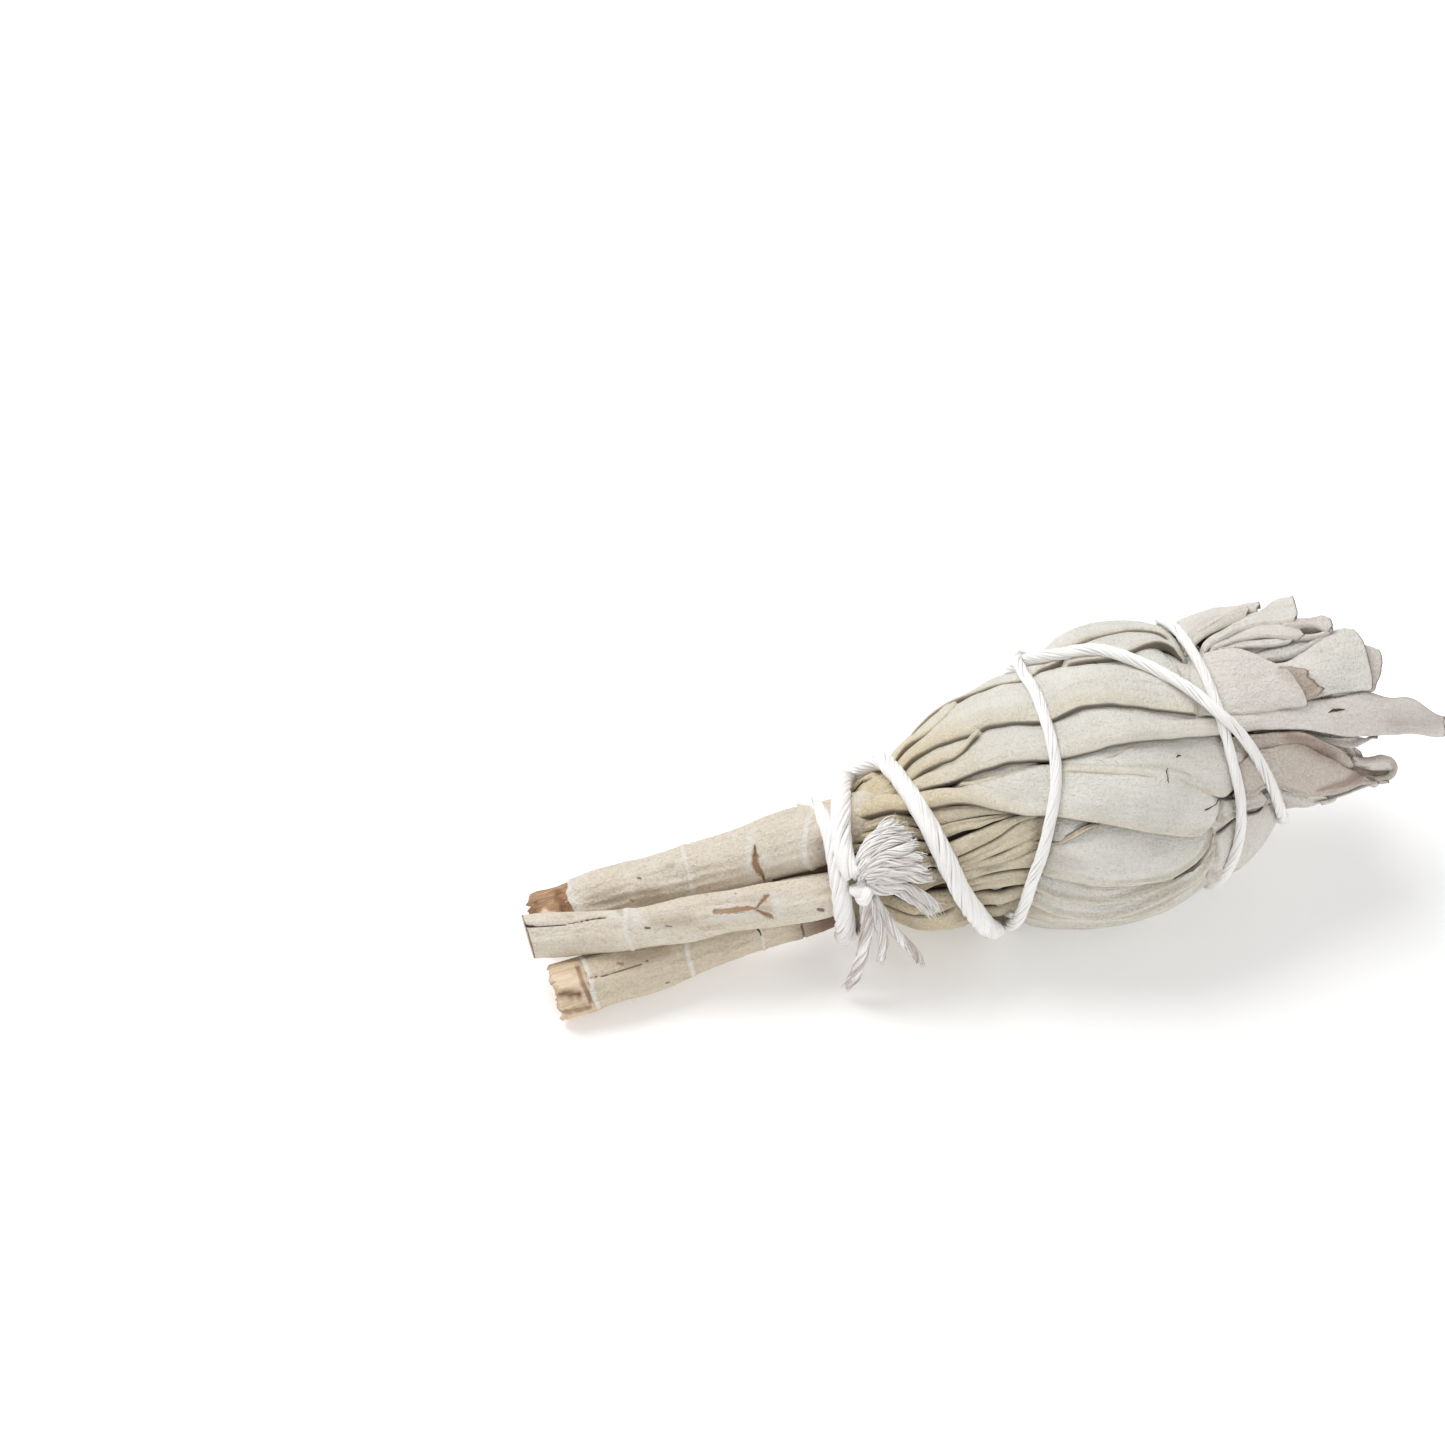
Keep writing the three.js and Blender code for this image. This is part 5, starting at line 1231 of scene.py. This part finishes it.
class SMUDGE_OT_stems(bpy.types.Operator):
    """The three stalks with their bark, rings, scars and cracks"""

    bl_idname = "smudge.stems"
    bl_label = "Stalks"

    def execute(self, context):
        for seed, name in enumerate(STEM_LINES):
            made = Gathered()
            made.tube(BARK_CELLS, lambda a, b: self.bark(a, b, name, 40 + 7 * seed))
            made.finish(f"{name}_bark", "stem", [name], bark_material())
        return {"FINISHED"}

    def bark(self, a, b, name, seed):
        line, marks = STEM_LINES[name], STEM_MARKS[name]
        torn = name != "stem_middle"
        turn = 360 * closed(b)
        turn = turn - 27 * np.sin(np.radians(turn - 50))  # finer cells on the side that shows
        edge = through(marks["bark"], facing(turn)) + torn * 0.12 * ripples(seed, 0, turn / 36, 1.0, 9, 0.7, 6)
        cap, tail = np.clip(a / BARK_ROUND, 0, 1), np.clip((1 - a) / BARK_CLOSE, 0, 1)
        t = np.clip((a - BARK_ROUND) / (1 - BARK_ROUND - BARK_CLOSE), 0, 1)
        x = edge + (BARK_FINE - edge) * np.minimum(t / BARK_SHOWN, 1)
        x = x + BARK_HIDDEN * np.clip((t - BARK_SHOWN) / (1 - BARK_SHOWN), 0, 1)
        r = through(line, x, 3)
        arc = np.radians(facing(turn)) * r
        mark = {kind: np.zeros(len(x)) for kind in ("ring", "scar", "speck", "dark", "stain", "brown", "white")}
        rise = np.zeros(len(x))
        wobble = ripples(seed + 6, arc, x * 2, 0.05, 1.2, 2.0)
        for kind, deep, way in marks["strokes"]:
            near = stroke(x + wobble, turn + 2 * wobble, r, way)
            soft = {"stain": 1.4, "white": 1.4, "brown": 1.4, "ring": 0.5}.get(kind, 0.1)
            on = smooth(-soft, 1.0 if soft > 1 else 0.6, near)
            mark[kind] = np.maximum(mark[kind], on)
            rise = rise - deep * smooth(0, 0.7, near)
            if kind == "ring":
                rise = rise + 0.13 * np.exp(-((np.minimum(near - 0.5, 0) / 0.9) ** 2))
            if kind == "scar" and deep > 0.12:
                rise = rise + 0.13 * np.exp(-(((near + 0.35) / 0.3) ** 2))
                mark["white"] = np.maximum(mark["white"], 0.55 * np.exp(-(((near + 0.5) / 0.45) ** 2)))
                # Painted shade down the middle of a deep scar's groove
                mark["dark"] = np.maximum(mark["dark"], 0.7 * np.exp(-(((near - 0.1) / 0.14) ** 2)))
        rough = ripples(seed + 1, x, arc, 0.07, 22, 1.6, 8) + ripples(seed + 2, x, arc, 0.03, 5, 0.9, 9)
        rough = rough + ripples(seed + 4, x, arc, 0.12, 11, 6, 5) + ripples(seed + 5, x, arc, 0.02, 0.9, 0.7, 9)
        squeeze = 0.25 * np.exp(-(((x - 0.5) / 2.5) ** 2))
        radius = (r + rise + rough - squeeze) * np.sqrt(cap * (2 - cap)) * tail
        x = x + 0.66 * (1 - cap)
        # Painted shade where the bark rounds over at its end
        mark["dark"] = np.maximum(mark["dark"], 0.6 * (1 - cap))
        top = 1 - smooth(-10, 60, turn % 360)
        mark["tone"] = {"stem_upper": 0.25, "stem_middle": 0.7 * top, "stem_lower": 0.0}[name]
        mark["tan"] = {"stem_upper": 0.15, "stem_middle": 0.1, "stem_lower": 0.8}[name]
        mark["grain"] = np.stack([x, arc, np.full(len(x), float(seed))], axis=-1)
        return on_stalk(line, x, turn, radius), mark


class SMUDGE_OT_wood(bpy.types.Operator):
    """The wood that shows at the stalks' cut and broken ends"""

    bl_idname = "smudge.wood"
    bl_label = "Torn wood"

    def execute(self, context):
        for seed, name in enumerate(STEM_LINES):
            made = Gathered()
            made.tube(WOOD_CELLS, lambda a, b: self.splinters(a, b, name, 90 + 5 * seed))
            made.finish(f"{name}_wood", "stem", [name], wood_material())
        return {"FINISHED"}

    def splinters(self, a, b, name, seed):
        line, end = STEM_LINES[name], STEM_ENDS[name]
        first = line[0][0]
        turn = 360 * closed(b)
        round_way = turn / 36
        bark = through(STEM_MARKS[name]["bark"], facing(turn))
        hollow = a < WOOD_HOLLOW
        inward = np.clip(a / WOOD_HOLLOW, 0, 1)
        jag = ripples(seed, 0, round_way, end["jag"], 9, 1.6, 7)
        jag = jag + ripples(seed + 1, 0, round_way, end["jag"] * 0.4, 9, 0.4, 7)
        tip = first + 0.1 + end["jag"] + jag
        inner = first + end["hollow"] + end["jag"] * (1 + ripples(seed + 2, 0, round_way, 0.5, 9, 2, 4))
        run = np.clip((a - WOOD_HOLLOW) / (1 - WOOD_HOLLOW), 0, 1)
        x = np.where(hollow, inner + (tip - inner) * inward**3, tip + (bark + 1.2 - tip) * run)
        r = through(line, x, 3) * end["share"]
        r = r + ripples(seed + 3, x * 0.2, round_way, 0.1, 9, 0.35, 8)
        r = r + ripples(seed + 4, x, round_way, end["jag"] * 0.3, 5, 1.2, 6)
        # Painted shade: the wood darkens deeper into the hollow, and along its dark marks
        dark, pale = np.where(hollow, 1 - smooth(0.3, 0.85, inward), 0.0), np.full(len(a), end.get("pale", 0.0))
        for kind, deep, way in end["strokes"]:
            near = stroke(x, turn, r, way) + ripples(seed + 8, x * 6, turn / 12, 0.5, 9, 5, 7)
            r = r - deep * smooth(0, 0.8, near)
            if kind == "dark":
                dark = np.maximum(dark, 0.6 * smooth(-1.0, 0.9, near))
            else:
                pale = np.maximum(pale, smooth(-0.5, 0.6, near))
        shrink = np.where(hollow, inward * 0.9, 0.9 + 0.1 * smooth(0, 0.06, run)) * (1 - smooth(0.97, 1.0, a))
        radius = np.maximum(r, 0.3) * shrink
        grain = np.stack([x, np.radians(turn) * 3, radius * 2 + seed], axis=-1)
        return on_stalk(line, x, turn, radius), {"dark": dark, "pale": pale, "grain": grain}


class SMUDGE_OT_core(bpy.types.Operator):
    """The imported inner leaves, seen only as shade between the outer ones"""

    bl_idname = "smudge.core"
    bl_label = "Inner leaves"

    def execute(self, context):
        made = Gathered()

        def place(a, b):
            x = CORE_START + CORE_LENGTH * np.clip((a - CORE_ROUND) / (1 - 2 * CORE_ROUND), 0, 1)
            ends = np.clip(a / CORE_ROUND, 0, 1) * np.clip((1 - a) / CORE_ROUND, 0, 1)
            turn = 360 * closed(b)
            r = through(OUTLINE, x)
            height = -2.3 - pinch(x) * 1.1 - 1.6 * (1 - smooth(-6, -1, x)) + ripples(3, x, turn / 20, 0.2, 12, 1)
            return on_bundle(x, turn, (r + height) * np.sqrt(ends) - r), {}

        made.tube((70, 72), place)
        made.finish("leaf_core", "leaf", LEAF_NODES, shade_material())
        return {"FINISHED"}


class SMUDGE_OT_leaf_bases(bpy.types.Operator):
    """The folded leaf bases that fan out from the neck"""

    bl_idname = "smudge.leaf_bases"
    bl_label = "Leaf bases"

    def execute(self, context):
        rng = np.random.default_rng(11)
        made = Gathered()
        for i, leaf in enumerate(PETIOLES):
            made.add((66, 13), petiole(leaf, 300 + i))
        for i, turn in enumerate(PLAIN_BASES):
            width, end = rng.uniform(1.7, 2.6), rng.uniform(13, 19) if turn < 0 else rng.uniform(17, 27)
            made.add((42, 10), petiole(plain_petiole(turn + rng.uniform(-2, 2), end, width, 340 + i), 400 + i))
        thickness = context.scene.smudge_leaves.thickness
        made.finish("leaf_bases", "leaf", LEAF_NODES, leaf_material(), thickness)
        return {"FINISHED"}


def sheet_size(rows, fine):
    """Columns and rows of a sheet's grid, for cells about as long as fine."""
    long = abs(rows[-1][0] - rows[0][0])
    wide = max(math.hypot(r[3] - r[0], math.radians(r[4] - r[1]) * 15) for r in rows)
    return int(min(max(long / fine, 20), 200)), int(min(max(wide / fine, 14), 44))


class SMUDGE_OT_leaves(bpy.types.Operator):
    """The broad leaves wrapped round the head"""

    bl_idname = "smudge.leaves"
    bl_label = "Broad leaves"

    def execute(self, context):
        thickness = context.scene.smudge_leaves.thickness
        for name in SECTORS:
            made = Gathered()
            for i, leaf in enumerate(LEAVES):
                if leaf["group"] == name:
                    rows = from_neck(leaf["rows"])
                    curled = "torn" not in leaf or "curled" in leaf
                    sheet = leaf_sheet({**leaf, "rows": rows}, SEED["leaf"] + 10 * i, curled)
                    made.add(sheet_size(rows, CELL["leaf"]), sheet)
            for i, (turn, half, tip) in enumerate(BACK_LEAVES.get(name, [])):
                leaf = back_leaf(turn, half, tip, 900 + i)
                sheet = leaf_sheet(leaf, SEED["far leaf"] + 10 * i + len(name))
                made.add(sheet_size(leaf["rows"], CELL["far leaf"]), sheet)
            for i, turn in enumerate(UNDER_LEAVES.get(name, [])):
                leaf = back_leaf(turn, 12, 59, 950 + i, 1.4)
                made.add((50, 14), leaf_sheet(leaf, SEED["under leaf"] + 10 * i + len(name)))
            made.finish(f"broad_leaves_{name}", "leaf", [f"leaves_{name}"], leaf_material(), thickness)
        return {"FINISHED"}


class SMUDGE_OT_tips(bpy.types.Operator):
    """The torn leaf tips round and inside the open end"""

    bl_idname = "smudge.tips"
    bl_label = "Leaf tips"

    def execute(self, context):
        thickness = context.scene.smudge_leaves.thickness
        for name in SECTORS:
            made = Gathered()
            for i, tip in enumerate(TIPS):
                if tip["group"] == name:
                    sheet = leaf_sheet({"torn": 0.3, **tip}, SEED["tip"] + 10 * i, False)
                    made.add(sheet_size(tip["rows"], CELL["tip"]), sheet)
            for i, (turn, end) in enumerate(BACK_TIPS.get(name, [])):
                seed = SEED["far tip"] + 10 * i + len(name)
                tip = back_tip(turn, end, seed)
                made.add(sheet_size(tip["rows"], CELL["far tip"]), leaf_sheet(tip, seed, False))
            for i, tip in enumerate(inner_tips(name, 1500 + len(name))):
                sheet = leaf_sheet(tip, SEED["inner tip"] + 10 * i + len(name), False)
                made.add(sheet_size(tip["rows"], CELL["inner tip"]), sheet)
            made.finish(f"leaf_tips_{name}", "leaf", [f"leaves_{name}"], leaf_material(), thickness)
        made = Gathered()
        x, turn, height = smooth_path(LIP, 50).T
        radius = 0.2 + 0.3 * np.sin(np.linspace(0.1, 3.0, 50))
        rod(made, on_bundle(x, turn, height), radius, 10, {"blush": 0.7, "tip": 1.0})
        made.finish("leaf_lip", "leaf", ["leaves_middle"], leaf_material())
        return {"FINISHED"}


def surface_height(leaves, x, turn):
    """How high over the outline the outermost leaf lies at each place."""
    reach = 5.0
    heights = []
    for start, end in zip(to_frame(on_bundle(x, turn, reach)), to_frame(on_bundle(x, turn, -reach))):
        found = [leaf.ray_cast(Vector(start), (Vector(end) - Vector(start)).normalized())[3] for leaf in leaves]
        heights.append(reach - min(far for far in found if far is not None) / MM)
    return np.array(heights)


class SMUDGE_OT_splits(bpy.types.Operator):
    """Painted shadow for fine splits and a speck in the dry leaves: dark rods on the leaf surface"""

    bl_idname = "smudge.splits"
    bl_label = "Splits"

    def execute(self, context):
        made = Gathered()
        leaves = [
            BVHTree.FromPolygons([v.co for v in piece.data.vertices], [p.vertices for p in piece.data.polygons])
            for piece in context.scene.objects if piece.name.startswith(("broad_leaves", "leaf_tips"))
        ]
        for i, line in enumerate(SPLIT_SHADOWS):
            x, turn, width = smooth_path(line, 40).T
            x = x + ripples(60 + i, np.arange(40), 0, 0.04, 7, 9)
            turn = turn + ripples(70 + i, np.arange(40), 0, 0.12, 7, 9)
            rod(made, on_bundle(x, turn, surface_height(leaves, x, turn)), width, 6)
        made.finish("leaf_split_shadows", "leaf", ["leaves_middle"], shade_material())
        return {"FINISHED"}


class SMUDGE_OT_string(bpy.types.Operator):
    """The cotton string, wound from the knot up the head and back"""

    bl_idname = "smudge.string"
    bl_label = "String"

    def execute(self, context):
        settings = context.scene.smudge_string
        turns = np.linspace(STRING[0][0], STRING_END, 4000)
        knot = on_bundle(KNOT["x"], KNOT["turn"], KNOT["height"] - 0.9)
        lead = knot + (string_point(turns[:1]) - knot) * np.linspace(0, 0.9, 12)[:, None]
        line = np.concatenate([lead, string_point(turns)])
        wide = through(STRING_RADIUS, np.concatenate([np.full(len(lead), STRING[0][0]), turns]))
        points = spaced(np.concatenate([line, wide[:, None]], axis=1), 0.6)
        points, radius = points[:, :3], points[:, 3]
        made = Gathered()
        twisted(made, points, radius, settings.yarns, settings.pitch / MM, 21)
        made.finish("string_winding", "string", ["cotton_string"], string_material())
        self.fuzz(points, radius, settings.fuzz)
        return {"FINISHED"}

    def fuzz(self, points, radius, count):
        """Loose fibres that stand off the string."""
        rng = np.random.default_rng(77)
        side, up = frames(points)
        ahead = np.cross(side, up)
        made = Gathered()
        for _ in range(count):
            i = rng.integers(2, len(points) - 2)
            angle = rng.uniform(0, 2 * math.pi)
            out = side[i] * math.cos(angle) + up[i] * math.sin(angle)
            lean = ahead[i] * rng.uniform(-1.2, 1.2) + np.cross(ahead[i], out) * rng.uniform(-1, 1)
            long = rng.uniform(0.5, 1.5)
            start = points[i] + out * radius[i] * 0.86
            path = [start, start + (out * 0.3 + lean * 0.5) * long * 0.5, start + (out * 0.35 + lean) * long * 0.8]
            rod(made, smooth_path(path, 4), 0.02, 3, {"tone": 0.5})
        made.finish("string_fuzz", "string", ["cotton_string"], string_material())


def roving(made, points, radius, seed, fibres, fray, turn_length, thick, core, marks):
    """Loose cotton fibres laid side by side round a soft core along a path, frayed where they end."""
    rng = np.random.default_rng(seed)
    points = spaced(points, 0.5)
    side, up = frames(points)
    length = np.linspace(0, 1, len(points))
    run = length * len(points) * 0.5
    for i in range(fibres):
        out, phase = radius * (0.95 if i % 3 else 0.6) * rng.uniform(0.85, 1.08), rng.uniform(0, 2 * math.pi)
        spread = fray * rng.uniform(-0.2, 1.3) * smooth(0.62, 1.1, length)
        spread = spread + 0.05 * np.sin(run * rng.uniform(0.8, 2) + phase)
        angle = phase + 2 * math.pi * run / turn_length + 0.3 * np.sin(run * rng.uniform(0.3, 0.8) + phase)
        narrow = 1 - 0.35 * smooth(0.75, 1.0, length)
        centre = points + side * (np.cos(angle) * (out * narrow + spread))[:, None]
        centre = centre + up * (np.sin(angle) * (out * narrow + spread * 0.6))[:, None]
        last = int(len(points) * rng.uniform(0.84, 1.0))
        thin = thick * rng.uniform(0.7, 1.4) * (1 - 0.85 * smooth(0.6, 1.0, length[:last]))
        rod(made, centre[:last], thin, 4, {"tone": rng.uniform(-1, 1), **marks})
    last = int(len(points) * 0.93)
    inner = radius * core * (1 - 0.75 * smooth(0.7, 1.0, length[:last]))
    rod(made, points[:last], inner, 10, {"tone": -0.6, **marks})


class SMUDGE_OT_knot(bpy.types.Operator):
    """The knot at the neck, its frayed tuft and its loose ends"""

    bl_idname = "smudge.knot"
    bl_label = "Knot and loose ends"

    def execute(self, context):
        made = Gathered()
        centre = on_bundle(KNOT["x"], KNOT["turn"], KNOT["height"])
        t = np.linspace(0, 2 * math.pi, 120)
        loop = [np.sin(t) + 2 * np.sin(2 * t), np.cos(t) - 2 * np.cos(2 * t), -1.0 * np.sin(3 * t)]
        loop = np.stack(loop, axis=-1) * KNOT["size"]
        twisted(made, loop[:-1] * (0.8, 1, 1) + centre, KNOT["radius"], 12, 10, 31)
        for i, (radius, line) in enumerate(STRANDS):
            path = smooth_path([on_bundle(*place) for place in line], 40)
            path = path + 0.12 * np.sin(np.linspace(0, 9 + i, 40) + i)[:, None] * np.array([0.3, 1, 0.4])
            # The tuft's strands get painted shade
            roving(made, path, radius, 800 + i, 17, 0.7, 9.0, 0.14, 0.5, {"dirt": 0.3})
        for i, (radius, line) in enumerate(TAIL_LINES):
            path = smooth_path([above_table(place) for place in line], 40)
            # The loose ends get stronger painted shade, with some soiling
            roving(made, path, radius, 850 + i, 22, 0.1, 12.0, 0.13, 0.85, {"dirt": 0.6})
        made.finish("string_knot", "string", ["cotton_string"], string_material())
        return {"FINISHED"}


def above_table(place):
    """A point given as x from the neck, y and a height above the table, in the bundle's own frame."""
    x, y, height = place
    z = height - NECK[2]
    c, s = math.cos(TILT), math.sin(TILT)
    return np.array([c * x + s * z, y, c * z - s * x])


class SMUDGE_OT_stage(bpy.types.Operator):
    """The pale floor, the soft light and the camera"""

    bl_idname = "smudge.stage"
    bl_label = "Stage"

    def execute(self, context):
        stage = context.scene.smudge_stage
        bm = bmesh.new()
        bmesh.ops.create_grid(bm, x_segments=1, y_segments=1, size=FLOOR_HALF)
        floor = in_scene("floor", mesh_of(bm, "floor"))
        paint = Recipe("pale floor", 0.9, specular=0.1)
        paint.shader.inputs["Base Color"].default_value = stage.floor
        paint.shader.inputs["Emission Color"].default_value = (1, 1, 1, 1)
        paint.shader.inputs["Emission Strength"].default_value = stage.floor_glow
        floor.data.materials.append(paint.material)
        for lamp in LAMPS:
            self.light(*lamp)
        world = bpy.data.worlds.new("soft daylight")
        world.use_nodes = True
        world.node_tree.nodes["Background"].inputs["Color"].default_value = (1, 1, 1, 1)
        world.node_tree.nodes["Background"].inputs["Strength"].default_value = DAYLIGHT
        context.scene.world = world
        self.camera(context, stage)
        context.scene.view_settings.view_transform = "Standard"
        return {"FINISHED"}

    def light(self, name, place, size, power):
        """A round lamp turned to the stick."""
        lamp = bpy.data.lights.new(name, "AREA")
        lamp.shape, lamp.size, lamp.energy = "DISK", size, power
        holder = in_scene(name, lamp)
        holder.location = place
        holder.rotation_euler = (-Vector(place)).to_track_quat("-Z", "Y").to_euler()

    def camera(self, context, stage):
        """The camera, with the neck where it is in the picture."""
        a, e = stage.azimuth, stage.elevation
        back = Vector((math.sin(a) * math.cos(e), -math.cos(a) * math.cos(e), math.sin(e)))
        right = Vector((math.cos(a), math.sin(a), 0))
        up = back.cross(right)
        across, down = [(pixel - FRAME_SIDE / 2) * PIXEL for pixel in NECK_PIXEL]
        aim = Vector(NECK) * MM - right * across + up * down
        data = bpy.data.cameras.new("camera")
        data.lens = data.sensor_width / 2 * stage.distance / (FRAME_SIDE * PIXEL / 2)
        camera = in_scene("camera", data)
        camera.location = aim + back * stage.distance
        camera.rotation_euler = (-back).to_track_quat("-Z", "Y").to_euler()
        context.scene.camera = camera


class SMUDGE_PT_panel(bpy.types.Panel):
    """The smudge stick's sizes, colours and pieces"""

    bl_idname = "SMUDGE_PT_panel"
    bl_label = "Smudge stick"
    bl_space_type = "VIEW_3D"
    bl_region_type = "UI"
    bl_category = "Smudge stick"

    def draw(self, context):
        for group in SETTINGS:
            settings = getattr(context.scene, group)
            box = self.layout.box()
            for name in settings.bl_rna.properties.keys():
                if name not in {"rna_type", "name"}:
                    box.prop(settings, name)
        for operator in OPERATORS:
            self.layout.operator(operator.bl_idname)


SETTINGS = {
    "smudge_leaves": LeafSettings,
    "smudge_stems": StemSettings,
    "smudge_string": StringSettings,
    "smudge_stage": StageSettings,
}
OPERATORS = [
    SMUDGE_OT_stage, SMUDGE_OT_stems, SMUDGE_OT_wood, SMUDGE_OT_core, SMUDGE_OT_leaf_bases, SMUDGE_OT_leaves,
    SMUDGE_OT_tips, SMUDGE_OT_splits, SMUDGE_OT_string, SMUDGE_OT_knot,
]


def register():
    for name, group in SETTINGS.items():
        bpy.utils.register_class(group)
        setattr(bpy.types.Scene, name, bpy.props.PointerProperty(type=group))
    for made in [*OPERATORS, SMUDGE_PT_panel]:
        bpy.utils.register_class(made)


def unregister():
    for made in [SMUDGE_PT_panel, *reversed(OPERATORS)]:
        bpy.utils.unregister_class(made)
    for name, group in reversed(SETTINGS.items()):
        delattr(bpy.types.Scene, name)
        bpy.utils.unregister_class(group)


def main():
    register()
    for operator in OPERATORS:
        group, name = operator.bl_idname.split(".")
        getattr(getattr(bpy.ops, group), name)()


if __name__ == "__main__":
    main()
